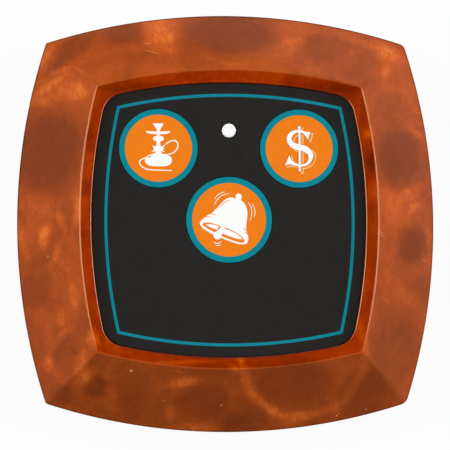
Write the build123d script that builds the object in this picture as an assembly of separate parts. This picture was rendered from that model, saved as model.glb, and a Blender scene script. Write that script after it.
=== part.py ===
from build123d import *

import os
from math import atan2, cos, degrees, radians, sin, sqrt, tan

# Waiter call button, lying on a table with its keys up.
# Millimetres. +Z is up, +Y is the far edge as the user reads the keys, and the
# origin is on the table under the middle of the housing.

# ---------------------------------------------------------------- housing sizes
WIDTH = 85.0  # across the middles of two opposite sides
SIDE_RADIUS = 118.0  # bow of each side
STANDOFF = 1.0  # table to the rim of the housing
SKIRT_HEIGHT = 6.0  # rim to the widest edge
SKIRT_DRAFT = 0.4  # the rim stands in by this from the widest edge
SKIRT_WALL = 3.0
BEVEL_WALL = 3.0
EDGE_ROUND = 0.6  # along the widest edge
RIDGE_ROUND = 0.3  # along the ridge
CORNER_ROUND = 1.0  # down each corner of the outline

RIDGE_LAND = 0.4  # level crest between the bevel and the window's slope
WINDOW_SLOPE = 2.4  # ridge to window, measured level
WINDOW_DEPTH = 1.8  # ridge down to the lip of the window
WINDOW_CORNER = 4.6
RIDGE_CORNER = 0.9  # corner of the opening at the ridge
LIP = 1.2  # upright lip under the window's slope

# ---------------------------------------------------------------- base and feet
BASE_THICKNESS = 2.0
RABBET_INSET = 1.6  # widest edge to the seat that holds the base plate
BASE_FIT = 0.1
BASE_SCREW_RADIUS = 1.3
BASE_SCREW_LENGTH = 6.0  # length above the base plate
BASE_SCREW_HEAD = 2.6  # head radius
SCREW_BOSS_RADIUS = 3.4
SCREW_BOSS_GAP = 0.4  # top of each boss to the front plate
BOSS_GAP = 0.6  # board's edge to the bosses
FOOT_RADIUS = 4.5
FOOT_EDGE = 8.5  # base plate's corner back to the middle of the foot, both ways

# ---------------------------------------------------------------- panel
FILM = 0.3
ADHESIVE = 0.1
FILM_FIT = 0.35  # round the film, in the window
FILM_BELOW_LIP = 0.4  # the film lies this far under the window's lip
PLATE_FIT = 0.25  # round the raised part of the front plate, in the window
FLANGE_FIT = 0.25  # round the flange, inside the housing
FLANGE = 1.1
HEADROOM = 0.3  # over the tallest part under the front plate
PANEL_MARGIN = 5.6  # side key's printed face to the window
KEY_SLOT = 0.15  # between a key's printed face and the film
KEY_FIT = 0.2  # between a key cap and the front plate

CALL_KEY_RADIUS = 8.63  # printed face of the call key, in the middle
SIDE_KEY_RADIUS = 7.9  # printed faces of the hookah and bill keys
KEY_BEARING = 45.4  # direction of the side keys from the call key, in degrees
KEY_GAP = 1.3  # between the flanges of neighbouring keys
KEY_TRAVEL = 0.4
KEY_FLANGE = 1.2  # stands out all round, under the front plate
KEY_FLANGE_THICKNESS = 0.8
KEY_FLANGE_GAP = 0.1  # under the front plate
KEY_TOP_WALL = 1.1
KEY_SKIRT_WALL = 1.0
KEY_NIB_RADIUS = 1.7
KEY_RIB = 0.8

# ---------------------------------------------------------------- circuit board
BOARD_THICKNESS = 1.6
BOARD_CORNER = 3.0
BOARD_SCREW_EDGE = 2.7  # board's edge to the screws
BOARD_SCREW_RADIUS = 1.0
BOARD_SCREW_HEAD = (1.9, 1.4)  # radius, height
BOARD_SCREW_BITE = 3.4  # length in the front plate's boss
PLATE_BOSS_RADIUS = 2.5
PLATE_BOSS_GAP = 1.3  # side key's flange to the boss
POST_RADIUS = 1.9
POST_SHIFT = 4.2  # from the board's screws, towards the middle
POST_HEIGHT = 3.3  # base plate to board
THREAD_FIT = 0.02
HOLE_FIT = 0.15

SWITCH_BODY = 6.0
SWITCH_CORNER = 0.5  # chamfer down each corner
SWITCH_BASE_HEIGHT = 3.2
SWITCH_COVER = 0.3
SWITCH_STEM_RADIUS = 1.75
SWITCH_STEM_TOP = 4.3  # board to the top of the stem
SWITCH_STEM_FLANGE = 2.2  # radius
SWITCH_WELL_RADIUS = 2.4
SWITCH_WELL_FLOOR = 1.4  # board to the floor of the well
DOME_THICKNESS = 0.1
DOME_RADIUS = 2.1
DOME_CROWN = 1.2  # radius of its flat top
STEM_FIT = 0.1
TERMINAL = (0.7, 0.2, 1.0)  # width, thickness, length of the foot
TERMINAL_HEIGHT = 0.9
TERMINAL_ROW = 2.25  # switch's middle to each row of legs

LED_PLACE = (0.0, 18.0)
LED_RADIUS = 1.5
LED_DOME = 0.8  # rounding of its top, as a share of its radius
LED_FLANGE = (1.9, 1.0)
LED_HEIGHT = 5.3
LED_ABOVE_FILM = 0.2
LED_FIT = 0.1
LEAD = 0.5  # square
LEAD_PITCH = 2.54
LEAD_TAIL = 0.8  # below the board

CHIP_PLACE = (-14.5, -5.5)
CHIP_BODY = (4.9, 3.9, 1.4)
CHIP_CHAMFER = 0.25
CHIP_DOT = (0.35, 0.1)  # radius and depth of the dimple that marks its first lead
CHIP_DOT_EDGE = 0.8  # both sides of the body to the dimple
CHIP_LEADS = 4  # each side
CHIP_PITCH = 1.27
CHIP_LIFT = 0.1
CHIP_LEAD = (0.4, 0.2, 1.0)  # width, thickness, length out from the body

CAN_Y = -5.4
CAN_GAP = 3.0  # can to antenna
CAN_RADIUS = 4.2
CAN_HEIGHT = 3.2
CAN_CHAMFER = 0.4
CAN_RIM = (4.6, 0.5)
CAN_LEADS = 3
CAN_LEAD_CIRCLE = 2.5

ANTENNA_Y = (-10.0, 4.5)  # middles of its near and far legs
ANTENNA_EDGE = 2.0  # board's edge to the middle of the strip
ANTENNA_HEIGHT = 4.6  # board to the top of the loop
ANTENNA_STRIP = (1.6, 0.5)  # width, thickness
ANTENNA_BEND = 1.5  # inside radius of its two bends

# ---------------------------------------------------------------- battery
BATTERY_RADIUS = 5.15
BATTERY_LENGTH = 27.3
BATTERY_NUB = (2.4, 1.2)  # radius, length
BATTERY_CHAMFER = 0.4
BATTERY_EDGE = 1.25  # board's near edge to the battery
BATTERY_LIFT = 0.3  # above the base plate
BATTERY_FIT = 0.1
NOTCH_FIT = 0.5  # round the battery and its contacts, in the board
CRADLE_X = 9.0
CRADLE = (1.5, 4.0)  # thickness and height of each rib
CONTACT = 0.4  # sheet thickness
CONTACT_SIZE = (8.6, 7.6)  # width and height of each upright plate
CONTACT_FOOT = (3.0, 4.4)  # width and length of the foot soldered to the board
CONTACT_FOOT_SHIFT = 1.5  # the foot's middle, beyond the battery's axis
SPRING_LENGTH = 4.0
SPRING_WIRE = 0.32
SPRING_PITCH = 1.6
SPRING_RADII = (3.5, 1.9)  # at the contact, at the battery

# Small parts soldered to the board in a column along its left edge, and beside their chips
RESISTOR_ROWS = [4.0, 1.0, -2.0, -5.0]
CAPACITOR_ROWS = [-8.0, -11.0]
COLUMN_EDGE = 4.5  # board's edge to the middle of the column
RESISTOR_BODY = (2.0, 1.25, 0.5)
CAPACITOR_BODY = (2.0, 1.25, 0.9)
LED_RESISTOR_SHIFT = 5.5  # from the LED
TRANSISTOR_PLACE = (13.0, 1.8)
TRANSISTOR_BODY = (2.9, 1.3, 1.0)

# ---------------------------------------------------------------- worked out, heights
RIM_Z = STANDOFF
BASE_TOP = RIM_Z + BASE_THICKNESS
EDGE_Z = RIM_Z + SKIRT_HEIGHT
BOARD_Z = BASE_TOP + POST_HEIGHT
BOARD_TOP = BOARD_Z + BOARD_THICKNESS
STEM_TOP = BOARD_TOP + SWITCH_STEM_TOP
BATTERY_Z = BASE_TOP + BATTERY_LIFT + BATTERY_RADIUS
ANTENNA_TOP = BOARD_TOP + ANTENNA_HEIGHT
FLANGE_Z = HEADROOM + max(BATTERY_Z + BATTERY_RADIUS, ANTENNA_TOP)
LEDGE_Z = FLANGE_Z + FLANGE  # inner ledge that the flange is held against
LIP_TOP = LEDGE_Z + LIP
HEIGHT = LIP_TOP + WINDOW_DEPTH  # table to ridge
FILM_TOP = LIP_TOP - FILM_BELOW_LIP
FILM_Z = FILM_TOP - FILM
PLATE_TOP = FILM_Z - ADHESIVE
KEY_FLANGE_TOP = FLANGE_Z - KEY_FLANGE_GAP
KEY_FLANGE_Z = KEY_FLANGE_TOP - KEY_FLANGE_THICKNESS
DOME_HEIGHT = 2 * KEY_TRAVEL  # a dome gives way by half its height

# ---------------------------------------------------------------- worked out, level
KEY_REACH = CALL_KEY_RADIUS + SIDE_KEY_RADIUS + 2 * KEY_FLANGE + KEY_GAP
SIDE_KEY_X = KEY_REACH * cos(radians(KEY_BEARING))
SIDE_KEY_Y = KEY_REACH * sin(radians(KEY_BEARING))
KEYS = {
    "call": ((0, 0), CALL_KEY_RADIUS),
    "hookah": ((-SIDE_KEY_X, SIDE_KEY_Y), SIDE_KEY_RADIUS),
    "bill": ((SIDE_KEY_X, SIDE_KEY_Y), SIDE_KEY_RADIUS),
}
WINDOW_INSET = WIDTH / 2 - (SIDE_KEY_X + SIDE_KEY_RADIUS + PANEL_MARGIN)
BEVEL = WINDOW_INSET - WINDOW_SLOPE  # widest edge to ridge, measured level
FILM_INSET = WINDOW_INSET + FILM_FIT

BOSS_REACH = SIDE_KEY_RADIUS + KEY_FLANGE + PLATE_BOSS_GAP + PLATE_BOSS_RADIUS
BOARD_SCREW_PLACE = SIDE_KEY_X + BOSS_REACH * cos(radians(45))
BOARD_HALF = BOARD_SCREW_PLACE + BOARD_SCREW_EDGE
BASE_SCREW_PLACE = BOARD_HALF + BOSS_GAP + SCREW_BOSS_RADIUS
BASE_SCREW_END = BASE_TOP + BASE_SCREW_LENGTH
SCREW_BOSS_TOP = FLANGE_Z - SCREW_BOSS_GAP
ANTENNA_X = BOARD_HALF - ANTENNA_EDGE
CAN_PLACE = (ANTENNA_X - ANTENNA_STRIP[0] / 2 - CAN_GAP - CAN_RIM[0], CAN_Y)
COLUMN_X = COLUMN_EDGE - BOARD_HALF

BATTERY_Y = BATTERY_EDGE + BATTERY_RADIUS - BOARD_HALF
BATTERY_END = (BATTERY_LENGTH + BATTERY_NUB[1] + SPRING_LENGTH) / 2  # X of the nub's end
BATTERY_START = BATTERY_END - BATTERY_NUB[1] - BATTERY_LENGTH
NOTCH_HALF = BATTERY_END + CONTACT + NOTCH_FIT
NOTCH_EDGE = BATTERY_Y + BATTERY_RADIUS + NOTCH_FIT

BOW_CENTRE = SIDE_RADIUS - WIDTH / 2  # how far past the middle each bow is centred
SLOPE = atan2(HEIGHT - EDGE_Z, BEVEL)
LEVEL_WALL = BEVEL_WALL / sin(SLOPE)  # the bevel's wall, measured level
KNEE_Z = EDGE_Z - (LEVEL_WALL - SKIRT_WALL) * tan(SLOPE)
LEDGE_INSET = LEVEL_WALL + (LEDGE_Z - EDGE_Z) / tan(SLOPE)
FLANGE_INSET = LEDGE_INSET + FLANGE_FIT
QUARTERS = [Rot(0, 0, 90 * turn) for turn in range(4)]


# ---------------------------------------------------------------- shared forms
def corner_half(inset):
    """X and Y of a corner of the outline that lies inset all round from the widest edge."""
    return (sqrt(2 * (SIDE_RADIUS - inset) ** 2 - BOW_CENTRE**2) - BOW_CENTRE) / 2


FOOT_PLACE = corner_half(RABBET_INSET) - FOOT_EDGE


def bowed_square(inset, corner=0.0):
    """Outline that lies inset all round from the widest edge, its sides still bowed."""
    half = corner_half(inset)
    side = ThreePointArc((half, -half), (WIDTH / 2 - inset, 0), (half, half))
    outline = make_face(Curve() + [quarter * side for quarter in QUARTERS])
    return fillet(outline.vertices(), corner) if corner else outline


def prism(sketch, bottom, top):
    return extrude(Pos(0, 0, bottom) * sketch, top - bottom)


def bowed_solid(section, rounds):
    """Solid with the same section on all four sides, each side turned about its bow's centre.

    section is a list of (inset, z) from the bottom up, and rounds gives the radius
    at some of its corners, by index.
    """
    rim = [(inset - SIDE_RADIUS, z) for inset, z in section]
    outline = make_face(Polyline([(0, section[0][1]), *rim, (0, section[-1][1])], close=True))
    for index, radius in rounds.items():
        place = Vector(*rim[index])
        outline = fillet(outline.vertices().sort_by_distance(place)[0], radius)
    side = Pos(-BOW_CENTRE, 0, 0) * revolve(Plane.XZ * outline, Axis.Z)
    solid = side
    for quarter in QUARTERS[1:]:
        solid = solid & (quarter * side)
    return solid


def pin(place, radius, bottom, top):
    """Upright round solid."""
    return Pos(*place, (bottom + top) / 2) * Cylinder(radius, top - bottom)


def block(place, size, bottom):
    """Box of the given size standing at a height, its middle at place."""
    low = (Align.CENTER, Align.CENTER, Align.MIN)
    return Pos(*place, bottom) * Box(*size, align=low)


def corners(half):
    return [(x * half, y * half) for x in (-1, 1) for y in (-1, 1)]


def board_screw_places():
    """The two far corners; the near ones are clamped between boss and post."""
    return [place for place in corners(BOARD_SCREW_PLACE) if place[1] > 0]


def side_middles(reach):
    return [(reach, 0), (0, reach), (-reach, 0), (0, -reach)]


def save(node, *solids):
    shape = solids[0] if len(solids) == 1 else Compound(children=list(solids))
    export_step(shape, f"parts/{node}.step")


# ---------------------------------------------------------------- housing and base
def housing_shell():
    outer = bowed_solid(
        [(SKIRT_DRAFT, RIM_Z), (0, EDGE_Z), (BEVEL, HEIGHT)],
        {1: EDGE_ROUND, 2: RIDGE_ROUND},
    )
    outer &= prism(bowed_square(0, CORNER_ROUND), RIM_Z, HEIGHT)
    cavity = bowed_solid(
        [(SKIRT_WALL, BASE_TOP), (SKIRT_WALL, KNEE_Z), (LEDGE_INSET, LEDGE_Z)],
        {},
    )
    for place in side_middles(BASE_SCREW_PLACE):
        cavity -= pin(place, SCREW_BOSS_RADIUS, BASE_TOP, SCREW_BOSS_TOP)
    slope_of_window = loft(
        [
            Pos(0, 0, LIP_TOP) * bowed_square(WINDOW_INSET, WINDOW_CORNER),
            Pos(0, 0, HEIGHT) * bowed_square(BEVEL + RIDGE_LAND, RIDGE_CORNER),
        ],
        ruled=True,
    )
    shell = outer - cavity
    shell -= prism(bowed_square(RABBET_INSET, CORNER_ROUND), RIM_Z, BASE_TOP)
    shell -= prism(bowed_square(WINDOW_INSET, WINDOW_CORNER), LEDGE_Z, LIP_TOP)
    shell -= slope_of_window
    for place in side_middles(BASE_SCREW_PLACE):
        shell -= pin(place, BASE_SCREW_RADIUS + THREAD_FIT, BASE_TOP, BASE_SCREW_END)
    return shell


def cradle_rib(x):
    """Rib with a round seat that carries the battery."""
    thickness, height = CRADLE
    width = 2 * (NOTCH_EDGE - NOTCH_FIT / 2 - BATTERY_Y)
    rib = block((x, BATTERY_Y), (thickness, width, height), BASE_TOP)
    seat = Pos(x, BATTERY_Y, BATTERY_Z) * Rot(0, 90, 0)
    return rib - seat * Cylinder(BATTERY_RADIUS + BATTERY_FIT, 2 * thickness)


def base_plate():
    plate = prism(bowed_square(RABBET_INSET + BASE_FIT, CORNER_ROUND), RIM_Z, BASE_TOP)
    for x, y in corners(1):
        post = (x * BOARD_SCREW_PLACE, y * (BOARD_SCREW_PLACE - POST_SHIFT))
        plate += pin(post, POST_RADIUS, BASE_TOP, BOARD_Z)
    for place in side_middles(BASE_SCREW_PLACE):
        plate -= pin(place, BASE_SCREW_RADIUS + HOLE_FIT, RIM_Z, BASE_TOP)
        plate -= countersink(place, HOLE_FIT)
    for x in (-CRADLE_X, CRADLE_X):
        plate += cradle_rib(x)
    return plate


def countersink(place, gap=0.0):
    """Cone of a base screw's head, or with a gap its seat in the base plate."""
    depth = BASE_SCREW_HEAD - BASE_SCREW_RADIUS
    cone = Cone(BASE_SCREW_HEAD + gap, BASE_SCREW_RADIUS + gap, depth)
    return Pos(*place, RIM_Z + depth / 2) * cone


def base_screw(place):
    return countersink(place) + pin(place, BASE_SCREW_RADIUS, RIM_Z, BASE_SCREW_END)


def rubber_foot(place):
    return pin(place, FOOT_RADIUS, 0, RIM_Z)


# ---------------------------------------------------------------- panel and keys
def panel_sheet(inset, corner, bottom, top, key_gap, led_radius):
    """Sheet of the panel's outline, with a hole for each key and one for the LED."""
    sheet = prism(bowed_square(inset, corner), bottom, top)
    for place, radius in KEYS.values():
        sheet -= pin(place, radius + key_gap, bottom, top)
    return sheet - pin(LED_PLACE, led_radius, bottom, top)


def front_plate():
    raised_inset = WINDOW_INSET + PLATE_FIT
    led_hole = LED_RADIUS + LED_FIT
    raised = panel_sheet(
        raised_inset, WINDOW_CORNER, LEDGE_Z, PLATE_TOP, KEY_FIT, led_hole
    )
    plate = raised + panel_sheet(
        FLANGE_INSET, WINDOW_CORNER, FLANGE_Z, LEDGE_Z, KEY_FIT, led_hole
    )
    bore_top = BOARD_TOP + BOARD_SCREW_BITE
    for place in corners(BOARD_SCREW_PLACE):
        plate += pin(place, PLATE_BOSS_RADIUS, BOARD_TOP, FLANGE_Z)
    for place in board_screw_places():
        plate -= pin(place, BOARD_SCREW_RADIUS + THREAD_FIT, BOARD_TOP, bore_top)
    return plate


def key_face(place, radius):
    return pin(place, radius, FILM_Z, FILM_TOP)


def key_cap(place, radius):
    """Moulded cap: a cup with a retaining flange, a nib for the switch and four ribs."""
    under_top = FILM_Z - KEY_TOP_WALL
    inside = radius - KEY_SKIRT_WALL
    cap = pin(place, radius, KEY_FLANGE_TOP, FILM_Z)
    cap += pin(place, radius + KEY_FLANGE, KEY_FLANGE_Z, KEY_FLANGE_TOP)
    cap -= pin(place, inside, KEY_FLANGE_Z, under_top)
    for size in ((2 * inside, KEY_RIB), (KEY_RIB, 2 * inside)):
        cap += block(place, (*size, under_top - KEY_FLANGE_TOP), KEY_FLANGE_TOP)
    return cap + pin(place, KEY_NIB_RADIUS, STEM_TOP, under_top)


# ---------------------------------------------------------------- switches
def switch_base(place):
    base = block(place, (SWITCH_BODY, SWITCH_BODY, SWITCH_BASE_HEIGHT), BOARD_TOP)
    base = chamfer(base.edges().filter_by(Axis.Z), SWITCH_CORNER)
    top = BOARD_TOP + SWITCH_BASE_HEIGHT
    return base - pin(place, SWITCH_WELL_RADIUS, BOARD_TOP + SWITCH_WELL_FLOOR, top)


def switch_cover(place):
    bottom = BOARD_TOP + SWITCH_BASE_HEIGHT
    cover = block(place, (SWITCH_BODY, SWITCH_BODY, SWITCH_COVER), bottom)
    cover = chamfer(cover.edges().filter_by(Axis.Z), SWITCH_CORNER)
    return cover - pin(place, SWITCH_STEM_RADIUS + STEM_FIT, bottom, bottom + SWITCH_COVER)


def switch_stem(place):
    """Plunger: its flange stays under the cover and rests on top of the dome."""
    bottom = BOARD_TOP + SWITCH_WELL_FLOOR + DOME_HEIGHT
    flange_top = BOARD_TOP + SWITCH_BASE_HEIGHT - STEM_FIT
    flange = pin(place, SWITCH_STEM_FLANGE, bottom, flange_top)
    return flange + pin(place, SWITCH_STEM_RADIUS, flange_top, STEM_TOP)


def switch_dome(place):
    """Thin pressed cap with a flat crown, standing on the floor of the well."""
    floor = BOARD_TOP + SWITCH_WELL_FLOOR
    cap = Pos(*place, floor + DOME_HEIGHT / 2) * Cone(DOME_RADIUS, DOME_CROWN, DOME_HEIGHT)
    return cap - Pos(0, 0, -DOME_THICKNESS) * cap


def switch_terminals(place):
    """Four bent legs, two on each side, standing on the board."""
    width, thickness, length = TERMINAL
    side = SWITCH_BODY / 2
    feet = []
    for x, y in corners(1):
        row = place[1] + y * TERMINAL_ROW
        foot_x = place[0] + x * (side + length / 2)
        leg_x = place[0] + x * (side + thickness / 2)
        foot = block((foot_x, row), (length, width, thickness), BOARD_TOP)
        feet.append(foot + block((leg_x, row), (thickness, width, TERMINAL_HEIGHT), BOARD_TOP))
    return feet


# ---------------------------------------------------------------- board and its parts
def lead_places():
    """Where the leads of the LED and of the can pass through the board."""
    half = LEAD_PITCH / 2
    led = [(LED_PLACE[0] + side * half, LED_PLACE[1]) for side in (-1, 1)]
    turns = [radians(90 + 360 * lead / CAN_LEADS) for lead in range(CAN_LEADS)]
    can = [
        (CAN_PLACE[0] + CAN_LEAD_CIRCLE * cos(turn), CAN_PLACE[1] + CAN_LEAD_CIRCLE * sin(turn))
        for turn in turns
    ]
    return led, can


def circuit_board():
    outline = RectangleRounded(2 * BOARD_HALF, 2 * BOARD_HALF, BOARD_CORNER)
    notch = Pos(0, NOTCH_EDGE - BOARD_HALF) * Rectangle(2 * NOTCH_HALF, 2 * BOARD_HALF)
    board = prism(outline - notch, BOARD_Z, BOARD_TOP)
    for place in board_screw_places():
        board -= pin(place, BOARD_SCREW_RADIUS + HOLE_FIT, BOARD_Z, BOARD_TOP)
    hole = LEAD + HOLE_FIT
    for place in (*lead_places()[0], *lead_places()[1]):
        board -= block(place, (hole, hole, BOARD_THICKNESS), BOARD_Z)
    return board


def board_screw(place):
    head_radius, head_height = BOARD_SCREW_HEAD
    head = pin(place, head_radius, BOARD_Z - head_height, BOARD_Z)
    return head + pin(place, BOARD_SCREW_RADIUS, BOARD_Z, BOARD_TOP + BOARD_SCREW_BITE)


def indicator_led():
    top = FILM_TOP + LED_ABOVE_FILM
    bottom = top - LED_HEIGHT
    lens = pin(LED_PLACE, LED_RADIUS, bottom, top)
    lens = fillet(lens.edges().group_by(Axis.Z)[-1], LED_RADIUS * LED_DOME)
    return lens + pin(LED_PLACE, LED_FLANGE[0], bottom, bottom + LED_FLANGE[1])


def led_spacer():
    top = FILM_TOP + LED_ABOVE_FILM - LED_HEIGHT
    spacer = pin(LED_PLACE, LED_FLANGE[0], BOARD_TOP, top)
    slot = LEAD + HOLE_FIT
    for place in lead_places()[0]:
        spacer -= block(place, (slot, slot, top - BOARD_TOP), BOARD_TOP)
    return spacer


def led_leads():
    bottom = BOARD_Z - LEAD_TAIL
    height = FILM_TOP + LED_ABOVE_FILM - LED_HEIGHT - bottom
    return [block(place, (LEAD, LEAD, height), bottom) for place in lead_places()[0]]


def encoder_chip():
    length, width, height = CHIP_BODY
    chip = block(CHIP_PLACE, (length, width, height), BOARD_TOP + CHIP_LIFT)
    chip = chamfer(chip.edges().group_by(Axis.Z)[-1], CHIP_CHAMFER)
    mark = (
        CHIP_PLACE[0] - length / 2 + CHIP_DOT_EDGE,
        CHIP_PLACE[1] - width / 2 + CHIP_DOT_EDGE,
    )
    top = BOARD_TOP + CHIP_LIFT + height
    return chip - pin(mark, CHIP_DOT[0], top - CHIP_DOT[1], top)


def chip_leads():
    """Gull-wing leads along both long sides of the chip."""
    width, thickness, length = CHIP_LEAD
    half = CHIP_BODY[1] / 2
    rise = CHIP_LIFT + CHIP_BODY[2] / 2
    leads = []
    for lead in range(CHIP_LEADS):
        x = CHIP_PLACE[0] + (lead - (CHIP_LEADS - 1) / 2) * CHIP_PITCH
        for side in (-1, 1):
            foot_y = CHIP_PLACE[1] + side * (half + length / 2)
            leg_y = CHIP_PLACE[1] + side * (half + thickness / 2)
            foot = block((x, foot_y), (width, length, thickness), BOARD_TOP)
            leads.append(foot + block((x, leg_y), (width, thickness, rise), BOARD_TOP))
    return leads


def resonator_can():
    rim_radius, rim = CAN_RIM
    can = pin(CAN_PLACE, CAN_RADIUS, BOARD_TOP, BOARD_TOP + CAN_HEIGHT)
    can = chamfer(can.edges().group_by(Axis.Z)[-1], CAN_CHAMFER)
    return can + pin(CAN_PLACE, rim_radius, BOARD_TOP, BOARD_TOP + rim)


def resonator_leads():
    bottom = BOARD_Z - LEAD_TAIL
    size = (LEAD, LEAD, BOARD_TOP - bottom)
    return [block(place, size, bottom) for place in lead_places()[1]]


def antenna_loop():
    """Stamped strip bent into a long staple, both legs standing on the board."""
    width, thickness = ANTENNA_STRIP
    near, far = ANTENNA_Y
    outside = Pos((near + far) / 2, (BOARD_TOP + ANTENNA_TOP) / 2)
    outside *= Rectangle(far - near + thickness, ANTENNA_HEIGHT)
    outside = fillet(outside.vertices().group_by(Axis.Y)[-1], ANTENNA_BEND + thickness)
    inside = Pos((near + far) / 2, (BOARD_TOP + ANTENNA_TOP) / 2 - thickness)
    inside *= Rectangle(far - near - thickness, ANTENNA_HEIGHT)
    inside = fillet(inside.vertices().group_by(Axis.Y)[-1], ANTENNA_BEND)
    side = Plane.YZ.offset(ANTENNA_X - width / 2)
    return extrude(side * (outside - inside), width)


def rf_transistor():
    """Small three-legged package."""
    length, width, height = TRANSISTOR_BODY
    body = block(TRANSISTOR_PLACE, (length, width, height), BOARD_TOP + CHIP_LIFT)
    lead_width, thickness, reach = CHIP_LEAD
    for x, side in ((-length / 3, -1), (length / 3, -1), (0, 1)):
        y = side * (width / 2 + reach / 4)
        foot = (TRANSISTOR_PLACE[0] + x, TRANSISTOR_PLACE[1] + y)
        body += block(foot, (lead_width, reach, thickness), BOARD_TOP)
    return body


# ---------------------------------------------------------------- battery and contacts
def along_x(radius, start, end):
    """Round bar on the battery's axis."""
    bar = Rot(0, 90, 0) * Cylinder(radius, end - start)
    return Pos((start + end) / 2, BATTERY_Y, BATTERY_Z) * bar


def battery():
    nub_radius, nub = BATTERY_NUB
    can = along_x(BATTERY_RADIUS, BATTERY_START, BATTERY_END - nub)
    can = chamfer(can.edges().filter_by(GeomType.CIRCLE), BATTERY_CHAMFER)
    return can + along_x(nub_radius, BATTERY_END - nub, BATTERY_END)


def contact_plate(face_x, outward):
    """Upright spring-steel plate at one end of the battery, its foot bent onto the board."""
    width, height = CONTACT_SIZE
    foot_width, foot_length = CONTACT_FOOT
    plate_x = face_x + outward * CONTACT / 2
    plate = block((plate_x, BATTERY_Y), (CONTACT, width, height), BATTERY_Z - height / 2)
    foot = (face_x + outward * foot_length / 2, BATTERY_Y + CONTACT_FOOT_SHIFT)
    return plate + block(foot, (foot_length, foot_width, CONTACT), BOARD_TOP)


def battery_contact_positive():
    return contact_plate(BATTERY_END, 1)


def battery_contact_negative():
    return contact_plate(BATTERY_START - SPRING_LENGTH, -1)


def battery_spring():
    """Conical spring, its wide end on the contact plate and its narrow end on the battery."""
    wide, narrow = SPRING_RADII
    rise = SPRING_LENGTH - 2 * SPRING_WIRE
    taper = degrees(atan2(narrow - wide, rise))
    coil = Helix(SPRING_PITCH, rise, wide, cone_angle=taper)
    section = Plane(origin=coil @ 0, z_dir=coil % 0) * RegularPolygon(SPRING_WIRE, 5)
    spring = sweep(section, path=coil, is_frenet=True)
    start = BATTERY_START - SPRING_LENGTH + SPRING_WIRE
    return Pos(start, BATTERY_Y, BATTERY_Z) * Rot(0, 90, 0) * spring


# ---------------------------------------------------------------- write every node
def main():
    os.makedirs("parts", exist_ok=True)
    save("housing_shell", housing_shell())
    save("base_plate", base_plate())
    save("base_screws", *map(base_screw, side_middles(BASE_SCREW_PLACE)))
    save("rubber_feet", *map(rubber_foot, corners(FOOT_PLACE)))

    led_hole = LED_RADIUS + LED_FIT
    save("front_plate", front_plate())
    save(
        "film_adhesive",
        panel_sheet(FILM_INSET, WINDOW_CORNER, PLATE_TOP, FILM_Z, KEY_FIT, led_hole),
    )
    save(
        "overlay_film",
        panel_sheet(FILM_INSET, WINDOW_CORNER, FILM_Z, FILM_TOP, KEY_SLOT, led_hole),
    )

    terminals = []
    for key, (place, radius) in KEYS.items():
        save(f"{key}_key_face", key_face(place, radius))
        save(f"{key}_key_cap", key_cap(place, radius))
        save(f"{key}_switch_base", switch_base(place))
        save(f"{key}_switch_cover", switch_cover(place))
        save(f"{key}_switch_stem", switch_stem(place))
        save(f"{key}_switch_dome", switch_dome(place))
        terminals += switch_terminals(place)
    save("switch_terminals", *terminals)

    resistors = [(COLUMN_X, row) for row in RESISTOR_ROWS]
    resistors.append((LED_PLACE[0] + LED_RESISTOR_SHIFT, LED_PLACE[1]))
    capacitors = [(COLUMN_X, row) for row in CAPACITOR_ROWS]
    save("circuit_board", circuit_board())
    save("board_screws", *map(board_screw, board_screw_places()))
    save("indicator_led", indicator_led())
    save("led_spacer", led_spacer())
    save("led_leads", *led_leads())
    save("encoder_chip", encoder_chip())
    save("chip_leads", *chip_leads())
    save("resonator_can", resonator_can())
    save("resonator_leads", *resonator_leads())
    save("antenna_loop", antenna_loop())
    save("rf_transistor", rf_transistor())
    save("chip_resistors", *(block(place, RESISTOR_BODY, BOARD_TOP) for place in resistors))
    save("chip_capacitors", *(block(place, CAPACITOR_BODY, BOARD_TOP) for place in capacitors))

    save("battery", battery())
    save("battery_contact_positive", battery_contact_positive())
    save("battery_contact_negative", battery_contact_negative())
    save("battery_spring", battery_spring())


main()
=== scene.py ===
# %% [markdown]
# # Waiter call button
# A square button housing with bowed sides, cast in cloudy amber resin. A dark printed film
# lies in its window, and three round keys in the film call the waiter, a hookah or the bill.
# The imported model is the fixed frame. This file adds the finishes, the prints and the pieces
# whose shape needs more care than the frame's own meshes have.

from math import acos, cos, hypot, pi, radians, sin, tan

import bmesh
import bpy
from mathutils import Matrix, Quaternion, Vector


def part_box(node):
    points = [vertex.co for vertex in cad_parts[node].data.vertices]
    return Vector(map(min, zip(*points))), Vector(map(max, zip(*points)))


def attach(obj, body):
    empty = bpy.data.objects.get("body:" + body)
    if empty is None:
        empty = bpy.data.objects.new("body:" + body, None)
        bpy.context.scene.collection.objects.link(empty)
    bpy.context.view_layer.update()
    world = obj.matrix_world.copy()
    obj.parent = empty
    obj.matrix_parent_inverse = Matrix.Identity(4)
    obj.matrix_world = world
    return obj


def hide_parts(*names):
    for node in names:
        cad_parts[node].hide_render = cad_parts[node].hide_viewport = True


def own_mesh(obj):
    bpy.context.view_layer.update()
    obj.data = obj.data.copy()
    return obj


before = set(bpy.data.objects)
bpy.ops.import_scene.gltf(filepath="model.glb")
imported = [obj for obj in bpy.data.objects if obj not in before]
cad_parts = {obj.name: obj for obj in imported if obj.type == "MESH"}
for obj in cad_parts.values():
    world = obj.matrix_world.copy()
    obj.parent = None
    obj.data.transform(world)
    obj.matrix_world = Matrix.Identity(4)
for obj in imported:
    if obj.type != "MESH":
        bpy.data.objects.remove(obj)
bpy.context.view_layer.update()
MM = 0.001

# %% [markdown]
# ## Helpers for node trees
# Materials and Geometry Nodes are both node trees. `add` makes a node and fills its sockets.
# `Value` holds a node's output, and arithmetic on it adds the nodes that do it, so a tree
# reads like a formula. `soft_step` turns a range of values smoothly into 0 to 1.


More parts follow.
